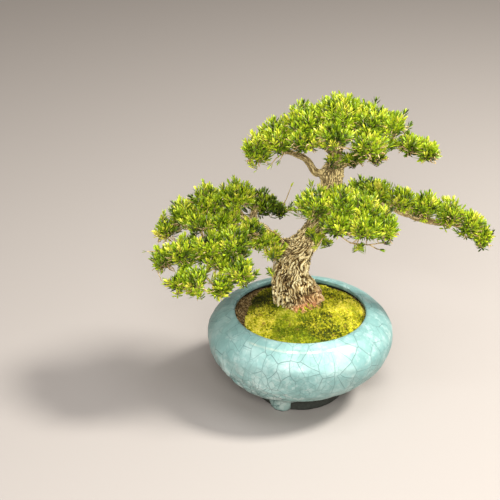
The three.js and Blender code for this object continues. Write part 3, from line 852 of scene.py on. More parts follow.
def corkyBark():
    finish, tree = newFinish("corkyBark", Roughness=0.88, Specular_IOR_Level=0.25)
    place = objectPlace(tree)
    rightward, _, height = addNode(tree, "ShaderNodeSeparateXYZ", {0: place}).outputs
    grain = storedValue(tree, "grain", "Vector")
    ridge = spread(tree, furrowDistance(tree, grain), 0.015, 0.26)
    fibre = vectorMaths(tree, "MULTIPLY", grain, (2.6, 2.6, 0.9))
    paintedLightHigh = spread(tree, height, *barkTones["paintedLightFrom"])
    wavy = maths(tree, "ADD", height, patchy(tree, place, (110, 2), 0.3, 0.7, -0.008, 0.008))
    foot = spread(tree, wavy, *barkTones["reddishUpTo"], 1, 0)
    onRight = spread(tree, rightward, -0.042, -0.016)
    colour = layered(
        # the bark's darker furrows, with painted shade at their bottom
        tree, colourSteps(tree, ridge, barkTones["furrowToRidge"]),
        (patchy(tree, fibre, (1.0, 4, 0.65), 0.42, 0.62, 0, 0.55), barkTones["streaks"]),
        (patchy(tree, place, (90, 3), 0.5, 0.72, 0, 0.25), barkTones["worn"]),
        # painted light on the ridges higher up the trunk, where the canopy shades it
        (times(tree, paintedLightHigh, spread(tree, ridge, 0.1, 1, 0.15, 0.95)), barkTones["golden"]),
        (times(tree, foot, onRight, spread(tree, ridge, 0, 1, 0.2, 0.6)), barkTones["reddish"]),
        (spread(tree, storedValue(tree, "girth"), 0.1, 0.35, 0.5, 0), barkTones["slender"]),
    )
    rises = maths(tree, "ADD", times(tree, ridge, 0.8), cloud(tree, fibre, 1.6, 4, 0.7))
    surface(tree, colour, rises, 0.0009, 0.9)
    return finish


makeWood(corkyBark())
print("wood is made")


# The foliage: clumps of upright shoots with paired leaves, and the twigs that carry them
# each clump: middle and half-sizes in mm, as in the solids

sprays = {
    "spray_apex_left": [
        (-51, -4, 315, 19, 21, 22), (-28, -2, 329, 24, 28, 21), (2, 0, 344, 26, 32, 24),
        (0, -27, 335, 21, 18, 16),
    ],
    "spray_apex_crown": [
        (31, -31, 341, 23, 20, 19), (38, 0, 354, 28, 34, 25), (70, 0, 345, 26, 34, 25),
        (68, -31, 331, 22, 20, 18),
    ],
    "spray_apex_right": [(97, -2, 345, 18, 22, 14), (118, -2, 319, 17, 18, 17), (137, -3, 312, 16, 16, 16)],
    "spray_apex_back": [(14, 44, 325, 24, 22, 19), (48, 47, 333, 26, 24, 21), (82, 40, 325, 22, 20, 18)],
    "spray_under_apex": [(31, -15, 308, 11, 10, 9), (55, -11, 307, 15, 12, 9.5), (80, -9, 309, 15, 12, 9)],
    "spray_front_upper": [
        (12, -46, 268, 24, 25, 21), (38, -44, 267, 24, 27, 21), (64, -42, 260, 22, 26, 21),
        (84, -42, 250, 17, 20, 17),
    ],
    "spray_front_low": [(36, -65, 251, 21, 20, 18), (64, -66, 248, 21, 20, 18), (89, -58, 242, 17, 18, 17)],
    "spray_cascade": [
        (84, 16, 256, 20, 20, 16), (112, 14, 247, 20, 20, 17), (141, 13, 239, 20, 20, 17),
        (169, 12, 230, 19, 19, 18), (194, 10, 217, 18, 18, 19), (210, 8, 203, 15, 16, 17),
    ],
    "spray_left_upper": [
        (-156, 11, 208, 18, 20, 18), (-135, 11, 230, 21, 24, 18), (-107, 12, 246, 23, 28, 18),
        (-74, 12, 251, 23, 27, 18), (-60, -14, 222, 18, 15, 14), (-88, -13, 230, 22, 17, 16),
        (-117, -12, 228, 21, 16, 16),
    ],
    "spray_back_left": [(-45, 46, 225, 22, 22, 17), (-24, 50, 216, 14, 15, 11)],
    "spray_left_lower": [
        (-157, -30, 192, 18, 20, 19), (-136, -33, 202, 21, 25, 22), (-108, -32, 210, 23, 26, 24),
        (-78, -34, 213, 22, 25, 23),
    ],
    "spray_left_front": [
        (-141, -59, 180, 17, 18, 17), (-118, -64, 180, 20, 20, 19), (-94, -65, 177, 18, 19, 17),
        (-70, -61, 192, 19, 20, 19), (-92, -48, 195, 19, 17, 14),
    ],
    "spray_back_right": [(72, 50, 243, 22, 20, 16)],
    "spray_trunk_shoots": [
        (-32, -11, 190, 12, 10, 13), (-34, -8, 207, 12, 10, 10), (-51, -14, 206, 15, 13, 13),
    ],
}
foliage = {
    "spacing": 8.05,  # mm between shoots over the outside of a clump
    "lowest": -0.45,  # how far round the underside the shoots go, as a direction's z
    "inset": 7.0,  # mm from the outside back to a shoot's tip
    "innerShare": 0.34,  # shoots inside a clump for each one outside
    "innerInset": 0.4,  # of the clump's half-size, for the inner shoots
    "pairs": 5,
    "pairStep": 2.1,  # mm down the shoot from one pair to the next
    "pairSizes": (0.72, 0.9, 1.0, 1.02, 0.95, 0.85),  # from the tip down
    "openFirst": 12,  # degrees that the leaves at the tip open, and how much more each lower pair does
    "openStep": 8.5,
    "leafLength": 9.0,  # mm
    "widthShare": 0.235,  # of the length
    "scatter": 0.2,  # how much the size of the leaves differs
    "longShoots": 0.2,  # share of the shoots that stand out of a clump
    "standOut": 6,  # by this much, in mm
    "shootAim": (0.7, 0.75, 0.3),  # how much a shoot points outwards, upwards and any way
    "overlap": 0.62,  # no shoot ends nearer another clump's middle than this share of its half-size
    "vigour": (0.44, 0.16),  # how yellow a shoot is, from 0 to 1, and how much that differs
    "innerPaintedShade": 0.42,  # painted shade: how much darker the inner shoots are
    "goldenShare": 0.02,  # of the shoots have yellow leaves
    "goldenTint": 0.35,  # how much yellower those are
    "tipTint": 0.15,  # and leaves at a tip
    "paintedUpLight": 0.06,  # painted light: how much yellower and brighter shoots that point up are
    "tintScatter": 0.13,
    "tuftPairs": 3,
    "bow": 2,  # mm; stems and branchlets rise half as much in their middle
    "stemSides": 6,
    "twigSides": 3,
    "seed": 23,
}
# radii of stems and twigs at their start and end, in mm
twigRadii = {
    "stem": (1.7, 1.2),
    "branchlet": (1.15, 0.75),
    "shoot": (0.6, 0.32),
    "bare": (0.95, 0.5),
    "tuft": (0.5, 0.3),
    "stray": (0.75, 0.45),
}
# these go further round the underside
hanging = {
    "spray_cascade": -0.9, "spray_left_lower": -0.7, "spray_left_front": -0.7, "spray_apex_left": -0.6,
}
# painted shade: how much darker these sprays are, and painted light where the value is below 0 and makes
# them brighter
shaded = {
    "spray_trunk_shoots": -0.14, "spray_back_left": 0.2, "spray_back_right": 0.16, "spray_apex_back": 0.12,
}
# leafless twigs under the canopy, for each clump of these sprays
bareTwigs = {
    "spray_apex_left": 16, "spray_apex_crown": 20, "spray_apex_right": 12, "spray_under_apex": 12,
    "spray_front_low": 6, "spray_cascade": 8, "spray_left_upper": 13, "spray_left_lower": 10,
    "spray_left_front": 6, "spray_front_upper": 6,
}
# stray twigs in mm, each with the number of leaf pairs at its end
strays = [
    ([(38, -58, 236), (48, -60, 229), (57, -62, 226), (60, -62, 222)], 0),
    ([(50, -59, 227), (70, -58, 224), (83, -58, 226), (90, -58, 226)], 3),
    ([(72, -58, 224), (80, -60, 220), (84, -60, 219)], 2),
    ([(-23, 50, 218), (-17, 50, 230), (-12, 50, 245)], 1),
    ([(-20, 48, 216), (-2, 38, 221), (6, 25, 220)], 0),
    ([(-155, -25, 205), (-167, -25, 199), (-177, -25, 199)], 1),
    ([(-154, -40, 194), (-165, -42, 184), (-160, -45, 172), (-141, -50, 164)], 2),
    ([(-119, -62, 170), (-119, -62, 156)], 0),
    ([(-26, -10, 196), (-32, -14, 180), (-34, -14, 166)], 3),
    ([(-44, -14, 200), (-40, -16, 188)], 1),
    ([(20, -58, 232), (14, -60, 224)], 2),
    ([(-6, 1, 310), (-22, -3, 311), (-31, -3, 304), (-37, -3, 296)], 3),
    ([(-22, -3, 311), (-27, -4, 302)], 2),
    ([(-40, -12, 222), (-28, -12, 214), (-20, -12, 204)], 2),
]
# little tufts without a solid of their own, as a middle and half-sizes
smallTufts = [
    (17, -14, 210, 11, 7, 10), (9, -12, 218, 7, 6, 7), (27, -18, 207, 8, 6, 7), (-38, -14, 168, 5, 4, 9),
    (98, -4, 322, 9, 9, 7), (61, -62, 223, 5, 5, 5),
]
# thin spots in the pads, where light comes through: a place in mm, and how wide
thinSpots = [
    ((-149, -10, 209), 10), ((-114, -20, 219), 7.5), ((-45, -40, 188), 12), ((-150, -45, 184), 10),
    ((-106, -60, 177), 9), ((-99, -50, 190), 7),
]
throughPads = Vector((-0.04, 0.894, -0.445)).normalized()  # the way that the thin spots run
goldenTurn = 2.39996  # radians, which spreads points evenly over a ball
allClumps = [clump for clumps in sprays.values() for clump in clumps]


def inThinSpot(spot):
    for place, radius in thinSpots:
        gap = spot - Vector(place)
        if (gap - throughPads * gap.dot(throughPads)).length < radius:
            return True
    return False


def insideOthers(spot, own, depth):
    for clump in allClumps:
        if clump is not own:
            share = math.sqrt(sum(((spot[k] - clump[k]) / clump[k + 3]) ** 2 for k in range(3)))
            if share < depth:
                return True
    return False


def headingOf(turn, z):
    # the direction that points up by z, turned round the vertical
    return Vector((*onCircle(turn, math.sqrt(1 - z * z)), z))


def scatterShoots(clump, low, rng):
    # (tip, axis, layer) for each shoot: the layer is 0 outside and 1 inside the clump
    middle, half = Vector(clump[:3]), Vector(clump[3:])
    mean = sum(half) / 3
    count = round(2 * math.pi * (1 - low) * mean**2 / foliage["spacing"] ** 2)
    outwards, upwards, anyWay = foliage["shootAim"]
    shoots = []
    for layer, share in ((0, 1.0), (1, foliage["innerShare"])):
        number = round(count * share)
        for i in range(number):
            z = 1 - (1 - low) * (i + 0.5) / number + rng.uniform(-0.06, 0.06)
            z = max(-0.95, min(1, z))
            heading = headingOf(i * goldenTurn + rng.uniform(-0.25, 0.25), z)
            inset = foliage["inset"] * rng.uniform(0.5, 1.5) + layer * mean * foliage["innerInset"]
            if rng.random() < foliage["longShoots"]:
                inset -= foliage["standOut"] * rng.uniform(0.4, 1)
            tip = middle + Vector(heading[k] * (half[k] - inset) for k in range(3))
            if insideOthers(tip, clump, foliage["overlap"]) or inThinSpot(tip):
                continue
            wild = Vector(rng.uniform(-1, 1) for _ in range(3))
            axis = (heading * outwards + Vector((0, 0, upwards)) + wild * anyWay).normalized()
            shoots.append((tip, axis, layer))
    return shoots


def leafRows(tip, axis, dark, pairs, rng):
    # a row for each leaf of a shoot: place, aim, face, size, tint
    side = axis.orthogonal().normalized()
    other = axis.cross(side)
    start = rng.uniform(0, math.pi)
    # dark is painted shade, and painted light where below 0, taken off how yellow the shoot is
    vigour = rng.gauss(*foliage["vigour"]) - dark
    golden = foliage["goldenTint"] if rng.random() < foliage["goldenShare"] else 0
    rows = []
    for pair in range(pairs + 1):
        spot = tip - axis * (foliage["pairStep"] * pair)
        opening = math.radians(foliage["openFirst"] + foliage["openStep"] * pair + rng.uniform(-6, 8))
        size = foliage["pairSizes"][pair]
        for half in (0, math.pi):
            turn = start + pair * math.pi / 2 + half + rng.uniform(-0.3, 0.3)
            outward = side * math.cos(turn) + other * math.sin(turn)
            aim = axis * math.cos(opening) + outward * math.sin(opening)
            face = (axis - aim * axis.dot(aim)).normalized()
            tint = vigour + foliage["tipTint"] * (1 - pair / 2.5) + rng.gauss(0, foliage["tintScatter"])
            # painted light: shoots that point up are yellower and brighter
            tint = tint + foliage["paintedUpLight"] * axis.z + golden
            rows.append((spot, aim, face, size * rng.uniform(0.88, 1.1), clamped(tint)))
    return rows


def leafBlank():
    # one leaf, 1 long and lying along Y: widest past its middle, domed above and closed all round
    half = foliage["widthShare"] / 2
    points = [(0, 0, 0)]
    for along, wide in ((0.34, 0.84), (0.74, 0.94)):
        points += [(half * wide, along, 0), (-half * wide, along, 0)]
    points += [(0, 1, 0), (0, 0.52, 0.06)]
    faces = [(0, 1, 6), (1, 3, 6), (3, 5, 6), (5, 4, 6), (4, 2, 6), (2, 0, 6), (0, 2, 4, 5, 3, 1)]
    return newMesh("leafBlank", points, faces, smooth=False, along=[point[1] for point in points])


def leafTree():
    # a leaf on each point, lying along aim, with its upper side towards face
    tree, sockets = newGeometryTree("leafySpray", [
        ("Leaf", "Object"), ("Leaf Length", "Float"), ("Size Scatter", "Float"), ("Seed", "Int"),
        ("Leaf Finish", "Material"),
    ])
    leaf = addNode(tree, "GeometryNodeObjectInfo", {"Object": sockets["Leaf"]})
    axes = {
        "Primary Axis": carried(tree, "aim", "FLOAT_VECTOR"),
        "Secondary Axis": carried(tree, "face", "FLOAT_VECTOR"),
    }
    turn = addNode(tree, "FunctionNodeAxesToRotation", axes, primary_axis="Y", secondary_axis="Z")
    least = maths(tree, "SUBTRACT", 1.0, sockets["Size Scatter"])
    most = maths(tree, "ADD", 1.0, sockets["Size Scatter"])
    chance = addNode(tree, "FunctionNodeRandomValue", {2: least, 3: most, "Seed": sockets["Seed"]})
    size = times(tree, chance.outputs[1], carried(tree, "size"), sockets["Leaf Length"])
    feeds = {
        "Points": sockets["Geometry"], "Instance": leaf.outputs["Geometry"],
        "Rotation": turn.outputs[0], "Scale": size,
    }
    leaves = addNode(tree, "GeometryNodeInstanceOnPoints", feeds)
    endGeometryTree(tree, leaves.outputs[0], sockets["Leaf Finish"])
    return tree


def twigTree():
    # tubes along loose polylines, as thick as each point says
    tree, sockets = newGeometryTree("twigTubes", [
        ("Sides", "Int"), ("Thickness", "Float"), ("Twig Finish", "Material"),
    ])
    lines = addNode(tree, "GeometryNodeMeshToCurve", {0: sockets["Geometry"]})
    ring = addNode(tree, "GeometryNodeCurvePrimitiveCircle", {"Resolution": sockets["Sides"], "Radius": 1.0})
    tubes = addNode(tree, "GeometryNodeCurveToMesh", {
        "Curve": lines.outputs[0], "Profile Curve": ring.outputs[0], "Fill Caps": True,
        "Scale": times(tree, carried(tree, "thick"), sockets["Thickness"]),
    })
    endGeometryTree(tree, tubes.outputs[0], sockets["Twig Finish"])
    return tree


def bowed(start, end, rise, steps):
    # points of a slightly bowed line
    middle = (start + end) / 2 + Vector((0, 0, rise))
    shares = [i / steps for i in range(steps + 1)]
    return [start * (1 - t) ** 2 + middle * 2 * t * (1 - t) + end * t * t for t in shares]


def lineMesh(name, lines):
    # lines: lists of points in mm, with the radius at the start and at the end
    points, edges, thick = [], [], []
    for line, startRadius, endRadius in lines:
        first, steps = len(points), len(line) - 1
        points += [tuple(point) for point in line]
        thick += [startRadius + (endRadius - startRadius) * i / steps for i in range(steps + 1)]
        edges += [(first + i, first + i + 1) for i in range(steps)]
    return newMesh(name, placed(points), [], edges, thick=thick)


def makeTwigs(name, lines, sides, finish):
    piece = newObject(name, lineMesh(name, lines))
    runTree(piece, twigTree(), {"Sides": sides, "Thickness": mm, "Twig Finish": finish})
    dress(piece, "bark")


def hubsOf(middle, half, rng):
    # where the shoots of a clump branch off: six spots round its middle and one above
    hubs = []
    for i in range(6):
        turn = i * math.pi / 3 + rng.uniform(-0.4, 0.4)
        x, y = math.cos(turn) * half.x * 0.45, math.sin(turn) * half.y * 0.45
        hubs.append(middle + Vector((x, y, half.z * rng.uniform(-0.35, 0.1))))
    hubs.append(middle + Vector((0, 0, half.z * 0.2)))
    return hubs


def bareTwig(middle, half, rng):
    # from inside a clump down to its front or underside, with a kink near the end
    heading = headingOf(rng.uniform(math.pi, 2 * math.pi), rng.uniform(-0.85, 0.2))
    start = middle + Vector(heading[k] * half[k] * 0.3 for k in range(3))
    start += Vector((rng.uniform(-6, 6), 0, -3))
    reach = rng.uniform(0.92, 1.03)
    end = middle + Vector(heading[k] * half[k] * reach for k in range(3))
    kink = start.lerp(end, rng.uniform(0.5, 0.75)) + Vector(rng.uniform(-2, 2) for _ in range(3))
    return [start, kink, end]


def growClump(name, clump, rng, dryRng, stems, twigs):
    # adds the clump's stems and twigs to those of the tree, and returns its leaves
    middle, half = Vector(clump[:3]), Vector(clump[3:])
    crotch = middle - Vector((0, 0, half.z * 0.5))
    wood = Vector(woodSpots[nearestWood(np.array([crotch]))[0]])
    stems.append((bowed(wood, crotch, foliage["bow"], 4), *twigRadii["stem"]))
    hubs = hubsOf(middle, half, rng)
    stems += [(bowed(crotch, hub, foliage["bow"], 3), *twigRadii["branchlet"]) for hub in hubs]
    rows = []
    for tip, axis, layer in scatterShoots(clump, hanging.get(name, foliage["lowest"]), rng):
        # painted shade for inner shoots and shaded sprays, and painted light where it is below 0
        dark = foliage["innerPaintedShade"] * layer + shaded.get(name, 0)
        rows += leafRows(tip, axis, dark, foliage["pairs"], rng)
        foot = tip - axis * foliage["pairStep"] * foliage["pairs"]
        hub = min(hubs, key=lambda spot: (spot - foot).length)
        twigs.append(([hub, foot, tip], *twigRadii["shoot"]))
    for _ in range(bareTwigs.get(name, 0)):
        twigs.append((bareTwig(middle, half, dryRng), *twigRadii["bare"]))
    return rows


def strayRows(rng, stems, twigs):
    # the leaves of the small tufts and of the stray twigs
    rows = []
    for clump in smallTufts:
        for tip, axis, _ in scatterShoots(clump, foliage["lowest"], rng):
            rows += leafRows(tip, axis, 0, foliage["tuftPairs"], rng)
            twigs.append(([Vector(clump[:3]), tip], *twigRadii["tuft"]))
    for line, pairs in strays:
        line = [Vector(spot) for spot in line]
        stems.append((line, *twigRadii["stray"]))
        if pairs:
            rows += leafRows(line[-1], (line[-1] - line[-2]).normalized(), 0, pairs - 1, rng)
    return rows


def makeFoliage(leafFinish, twigFinish):
    rng = random.Random(foliage["seed"])
    dryRng = random.Random(foliage["seed"] + 50)
    blank = newObject("leafBlank", leafBlank())
    leafNodes = leafTree()
    stems, twigs = [], []
    total = 0

    def growLeaves(name, rows, number, *nodes):
        keys = ((1, "aim"), (2, "face"), (3, "size"), (4, "tint"))
        attributes = {key: [row[k] for row in rows] for k, key in keys}
        leaves = newPiece(name, placed([row[0] for row in rows]), [], **attributes)
        runTree(leaves, leafNodes, {
            "Leaf": blank, "Leaf Length": foliage["leafLength"] * mm, "Size Scatter": foliage["scatter"],
            "Seed": foliage["seed"] + number, "Leaf Finish": leafFinish,
        })
        dress(leaves, "leaf", *nodes)

    for number, (name, clumps) in enumerate(sprays.items()):
        rows = []
        for clump in clumps:
            rows += growClump(name, clump, rng, dryRng, stems, twigs)
        growLeaves(name.replace("spray_", "leaves_"), rows, number, name)
        total += len(rows)
    rows = strayRows(rng, stems, twigs)
    growLeaves("leaves_stray", rows, len(sprays))
    bpy.data.objects.remove(blank)
    print(f"  {total + len(rows)} leaves")
    makeTwigs("sprayStems", stems, foliage["stemSides"], twigFinish)
    makeTwigs("fineTwigs", twigs, foliage["twigSides"], twigFinish)


leafTones = {
    "tones": [
        (0.0, (24, 36, 6)), (0.25, (68, 96, 12)), (0.5, (136, 168, 22)), (0.76, (192, 206, 40)),
        (1.0, (228, 220, 84)),
    ],
    # painted shade: leaves darker towards their base, between the crowded leaves
    "base": (36, 54, 10),
    "tip": (196, 212, 56),
    "spots": (84, 112, 22),
}
twigTones = [(0.3, (118, 96, 58)), (0.5, (190, 164, 110)), (0.7, (240, 220, 170))]


def boxLeaf():
    finish, tree = newFinish("boxLeaf", Roughness=0.38, Specular_IOR_Level=0.5)
    along = storedValue(tree, "along")
    place = objectPlace(tree)
    patches = patchy(tree, place, (45, 2), 0.3, 0.7, -0.12, 0.12)
    varied = maths(tree, "ADD", storedValue(tree, "tint"), patches)
    colour = layered(
        tree, colourSteps(tree, varied, leafTones["tones"]),
        # painted shade at the base of each leaf
        (spread(tree, along, 0.0, 0.6, 0.6, 0), leafTones["base"]),
        (spread(tree, along, 0.6, 1.0, 0, 0.2), leafTones["tip"]),
        (patchy(tree, place, (700, 3), 0.45, 0.75, 0, 0.25), leafTones["spots"]),
    )
    surface(tree, colour, cloud(tree, place, 1500, 2), 0.0002, 0.5)
    return finish


def paleTwig():
    sockets = {"Roughness": 0.8, "Specular_IOR_Level": 0.3}
    return mottled("paleTwig", twigTones, (180, 4, 0.6), (1200, 3), 0.6, **sockets)


makeFoliage(boxLeaf(), paleTwig())
print("foliage is made")


# Soil, moss and surface roots

ground = {
    "soilEdge": 94,  # mm above the floor, at the soil's radius
    "soilCrown": 13,  # mm that its middle is higher
    "soilRadius": 92,
    "mossRadius": 77,
    "mossDepth": 7,
    "mossFoot": 1.6,  # mm that even the moss's edge stands above the soil
    "bay": (2.95, 0.55),  # where the moss lets the soil show, and how wide: radians round the bowl
    "bayDepth": 0.2,  # of the moss's radius
    "edgeWaves": 1.2,  # mm
    "tuckIn": 0.985,  # share of that radius where the moss meets the soil
    "mounds": (1.5, 0.9),  # mm, wide and small
    "lumps": (2.1, 0.9, 0.9),  # mm: domes, little domes and waves
    "lumpSizes": (8.5, 2.6, 15),
    "hollowX": (-52, 28),  # the dip in the moss, left of the trunk and behind it, where painted shadow darkens it
    "hollowY": (28, 24),
    "hollowDepth": 4.5,
    "around": 220,
    "rings": 64,
    "tuftDensity": 320000,  # tufts a square metre
    "tuftHeight": 2.2,  # mm
    "grainDensity": 260000,
    "grainSize": 1.15,  # mm
    "grainRings": (-3, 2, 8, 14, 20),  # mm out from the moss's edge
    "grainsEnd": 85,  # radius in mm
    "grainsAround": 120,
    "sizes": (0.55, 1.35),  # smallest and largest share of a tuft's or grain's size
    "seed": 8,
    "tintSeed": 77,
}
surfaceRoots = {
    "count": 46,
    "sides": 5,
    "steps": 6,
    "middle": (-5, 12),  # they start round this place, in mm
    "turns": (-110, 25),  # in these directions, in degrees
    "radii": (17, 24),  # and this far from it, in mm
    "rise": 3.2,  # mm above the moss at the start
    "dip": 1.0,  # mm down with each step
    "thick": (0.55, 1.0),  # least and largest radius in mm at the start
    "thin": 0.3,  # and the radius at the end
}


def soilTop(radius):
    return ground["soilEdge"] + ground["soilCrown"] * (1 - (radius / ground["soilRadius"]) ** 2)


def mossEdge(turn):
    bay = ground["bayDepth"] * bump(turn, *ground["bay"])
    radius = ground["mossRadius"] * (1 - bay)
    size = ground["edgeWaves"]
    return radius + size * math.sin(5 * turn) - size * abs(math.sin(8.5 * turn))


def mossHollow(x, y):
    return bump(x, *ground["hollowX"]) * bump(y, *ground["hollowY"])


def mossTop(x, y, share):
    # the height of the moss, and its unevenness, at that share of the way to its edge
    wide, small = ground["mounds"]
    mounds = wide * math.sin(x / 11 + 1.2) * math.cos(y / 9) + small * math.sin((x - y) / 6.5)
    domes, beads, waves = ground["lumps"]
    domeSize, beadSize, waveSize = ground["lumpSizes"]
    lumps = domes * (0.55 - noise.voronoi(Vector((x, y, 0)) / domeSize)[0][0])
    lumps += beads * (0.5 - noise.voronoi(Vector((x, y, 3)) / beadSize)[0][0])
    lumps += waves * noise.noise(Vector((x, y, 0)) / waveSize)
    lumps -= ground["hollowDepth"] * mossHollow(x, y)
    rounding = math.sqrt(max(0, 1 - share**6))
    top = soilTop(math.hypot(x, y)) + ground["mossFoot"] + (ground["mossDepth"] + mounds) * rounding
    return top + lumps * (0.4 + 0.6 * rounding), lumps


def makeMoss(finish):
    around, rings = ground["around"], ground["rings"]
    points, swell = [], []
    for ring in range(rings + 1):
        share = 0.02 + 0.98 * (ring / rings) ** 0.8
        for turn in anglesRound(around):
            x, y = onCircle(turn, mossEdge(turn) * share)
            top, lump = mossTop(x, y, share)
            points.append((x, y, top))
            swell.append(lump)
    for turn in anglesRound(around):
        radius = mossEdge(turn) * ground["tuckIn"]
        points.append((*onCircle(turn, radius), soilTop(radius) + 0.2))
        swell.append(-1)
    stored = {"swell": swell, "hollow": [mossHollow(x, y) for x, y, _ in points]}
    carpet = newPiece("mossCarpet", placed(points), flipped(tubeFaces(rings + 2, around)), **stored)
    carpet.data.materials.append(finish)
    dress(carpet, "moss", "moss")
    tufts = newPiece("mossTufts", placed(points), flipped(ringFaces(rings + 1, around)), **stored)
    runScatter(tufts, tuftBlank(), "mossTuftTree", True, {
        "Density": ground["tuftDensity"], "Size": ground["tuftHeight"] * mm, "Seed": ground["seed"],
        "Finish": finish,
    })
    dress(tufts, "moss")


def tuftBlank():
    # four little leaning spikes
    points, faces = [], []
    for turn, lean, tall in ((0.3, 0.3, 1.0), (1.9, 0.4, 0.8), (3.4, 0.35, 0.9), (5.0, 0.45, 0.7)):
        start = len(points)
        x, y = math.cos(turn), math.sin(turn)
        for k in range(3):
            spin = turn + k * 2 * math.pi / 3
            points.append((x * 0.12 + math.cos(spin) * 0.17, y * 0.12 + math.sin(spin) * 0.17, -0.25))
        points.append((x * lean, y * lean, tall))
        sides = ((0, 2, 1), (0, 1, 3), (1, 2, 3), (2, 0, 3))
        faces += [(start + a, start + b, start + c) for a, b, c in sides]
    height = [point[2] for point in points]
    return newMesh("tuftBlank", points, faces, smooth=False, along=height)


def pebbleBlank():
    # a rough little lump with twenty faces
    golden = (1 + math.sqrt(5)) / 2
    rng = random.Random(5)
    points = []
    for a in (-1, 1):
        for b in (-golden, golden):
            points += [(0, a, b), (a, b, 0), (b, 0, a)]
    points = [Vector(point).normalized() * rng.uniform(0.8, 1.12) for point in points]
    faces = []
    for i in range(12):
        for j in range(i + 1, 12):
            for k in range(j + 1, 12):
                a, b, c = points[i].normalized(), points[j].normalized(), points[k].normalized()
                if max((a - b).length, (b - c).length, (a - c).length) < 1.2:
                    outward = (b - a).cross(c - a).dot(a + b + c) > 0
                    faces.append((i, j, k) if outward else (i, k, j))
    return newMesh("pebbleBlank", points, faces, smooth=False)


def scatterTree(name, upright):
    # little blanks over a surface: upright ones lean a little, and the others lie any way
    tree, sockets = newGeometryTree(name, [
        ("Blank", "Object"), ("Density", "Float"), ("Size", "Float"), ("Seed", "Int"),
        ("Finish", "Material"),
    ])
    blank = addNode(tree, "GeometryNodeObjectInfo", {"Object": sockets["Blank"]})
    dots = addNode(tree, "GeometryNodeDistributePointsOnFaces", {
        "Mesh": sockets["Geometry"], "Density": sockets["Density"], "Seed": sockets["Seed"],
    })
    fullTurn = 6.283
    least = (-0.5, -0.5, 0) if upright else (0, 0, 0)
    most = (0.5, 0.5, fullTurn) if upright else (fullTurn, fullTurn, fullTurn)
    feeds = {0: least, 1: most, "Seed": sockets["Seed"]}
    spin = addNode(tree, "FunctionNodeRandomValue", feeds, data_type="FLOAT_VECTOR")
    turned = addNode(tree, "FunctionNodeEulerToRotation", {0: spin.outputs[0]})
    feeds = {0: dots.outputs["Rotation"], 1: turned.outputs[0]}
    turn = addNode(tree, "FunctionNodeRotateRotation", feeds, rotation_space="LOCAL")
    smallest, largest = ground["sizes"]
    chance = addNode(tree, "FunctionNodeRandomValue", {2: smallest, 3: largest, "Seed": sockets["Seed"]})
    scattered = addNode(tree, "GeometryNodeInstanceOnPoints", {
        "Points": dots.outputs[0], "Instance": blank.outputs["Geometry"], "Rotation": turn.outputs[0],
        "Scale": times(tree, chance.outputs[1], sockets["Size"]),
    })
    tint = addNode(tree, "FunctionNodeRandomValue", {2: 0.0, 3: 1.0, "Seed": ground["tintSeed"]})
    feeds = {"Geometry": scattered.outputs[0], "Name": "tint", "Value": tint.outputs[1]}
    marked = addNode(tree, "GeometryNodeStoreNamedAttribute", feeds, domain="INSTANCE")
    endGeometryTree(tree, marked.outputs[0], sockets["Finish"])
    return tree


def runScatter(piece, blankMesh, treeName, upright, values):
    # values: the tree's density, size, seed and finish
    blank = newObject(blankMesh.name, blankMesh)
    runTree(piece, scatterTree(treeName, upright), {"Blank": blank, **values})
    bpy.data.objects.remove(blank)


def makeGrains(finish):
    around, rings = ground["grainsAround"], ground["grainRings"]
    points = []
    for share in rings:
        for turn in anglesRound(around):
            radius = min(ground["grainsEnd"], mossEdge(turn) + share)
            points.append((*onCircle(turn, radius), soilTop(radius) + 0.4))
    band = newPiece("soilGrains", placed(points), flipped(ringFaces(len(rings), around)))
    runScatter(band, pebbleBlank(), "soilGrainTree", False, {
        "Density": ground["grainDensity"], "Size": ground["grainSize"] * mm, "Seed": ground["seed"] + 1,
        "Finish": finish,
    })
    dress(band, "soil")


def makeSurfaceRoots(finish):
    # fine reddish roots that creep out of the foot of the trunk and dip into the moss
    rng = random.Random(ground["seed"] + 2)
    lines = []
    middleX, middleY = surfaceRoots["middle"]
    for _ in range(surfaceRoots["count"]):
        turn = math.radians(rng.uniform(*surfaceRoots["turns"]))
        radius = rng.uniform(*surfaceRoots["radii"])
        spots = []
        for step in range(surfaceRoots["steps"]):
            x, y = middleX + math.cos(turn) * radius, middleY + math.sin(turn) * radius
            rise = (surfaceRoots["rise"] - surfaceRoots["dip"] * step) * rng.uniform(0.7, 1.1)
            spots.append(Vector((x, y, mossTop(x, y, 0)[0] + rise)))
            radius += rng.uniform(2.0, 3.4)
            turn += rng.uniform(-0.16, 0.16)
        lines.append((spots, rng.uniform(*surfaceRoots["thick"]), surfaceRoots["thin"]))
    makeTwigs("surfaceRoots", lines, surfaceRoots["sides"], finish)


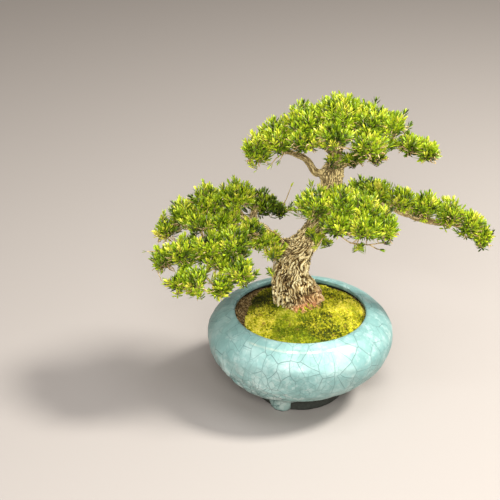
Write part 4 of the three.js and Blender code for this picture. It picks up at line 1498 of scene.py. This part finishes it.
# colours of the ground, as a screen shows them
groundTones = {
    "moss": [
        (0.2, (50, 58, 8)), (0.36, (108, 118, 12)), (0.5, (170, 172, 22)), (0.66, (214, 206, 44)),
        (0.86, (244, 232, 104)),
    ],
    "lushMoss": (112, 138, 14),
    "dryMoss": (146, 108, 56),
    # painted shadow in the dip of the moss, left of the trunk and behind it
    "paintedShadowMoss": (34, 34, 8),
    "soil": [(0.15, (64, 50, 28)), (0.5, (116, 94, 56)), (0.75, (160, 134, 88)), (0.95, (204, 182, 138))],
    "dampSoil": (52, 38, 22),
    "roots": [(0.3, (84, 50, 30)), (0.5, (170, 116, 72)), (0.7, (228, 180, 128))],
    "screen": [(0.0, (30, 33, 30)), (1.0, (52, 56, 52))],
}


def velvetMoss():
    finish, tree = newFinish("velvetMoss", Roughness=0.9, Specular_IOR_Level=0.2)
    place = objectPlace(tree)
    patches = patchy(tree, place, (24, 4, 0.6), 0.3, 0.7, 0.28, 0.72)
    swell = spread(tree, storedValue(tree, "swell"), -1.3, 1.3, -0.16, 0.16)
    speckle = patchy(tree, place, (420, 3, 0.7), 0.35, 0.65, -0.18, 0.18)
    tuft = spread(tree, storedValue(tree, "tint"), 0, 1, -0.13, 0.28)
    colour = layered(
        tree, colourSteps(tree, maths(tree, "ADD", patches, swell, speckle, tuft), groundTones["moss"]),
        (patchy(tree, place, (17, 2), 0.5, 0.62, 0, 0.45), groundTones["lushMoss"]),
        (patchy(tree, place, (70, 4, 0.7), 0.56, 0.68, 0, 0.7), groundTones["dryMoss"]),
        # painted shadow in the dip of the moss, left of the trunk and behind it
        (times(tree, storedValue(tree, "hollow"), 0.85), groundTones["paintedShadowMoss"]),
    )
    surface(tree, colour, cloud(tree, place, 700, 4, 0.7), 0.0012, 0.9)
    return finish


def grittySoil(name="grittySoil"):
    finish, tree = newFinish(name, Roughness=0.95, Specular_IOR_Level=0.2)
    place = objectPlace(tree)
    grit = colourSteps(tree, cells(tree, place, 620, "Color"), groundTones["soil"])
    damp = layered(tree, grit, (patchy(tree, place, (60, 3), 0.45, 0.7, 0, 0.4), groundTones["dampSoil"]))
    surface(tree, damp, cells(tree, place, 620), 0.0012, 0.9)
    return finish


def redRoot():
    return mottled("redRoot", groundTones["roots"], (240, 3), (1100, 2), 0.5, Roughness=0.8)


def wovenPlastic():
    return mottled("wovenPlastic", groundTones["screen"], (500, 3), (1400, 2), 0.5, Roughness=0.6)


def finishNode(name, finish):
    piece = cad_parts[name]
    piece.data.materials.clear()
    piece.data.materials.append(finish)


makeMoss(velvetMoss())
makeGrains(grittySoil())
makeSurfaceRoots(redRoot())
finishNode("soil", grittySoil("deepSoil"))
finishNode("drain_screen", wovenPlastic())
print("ground is made")
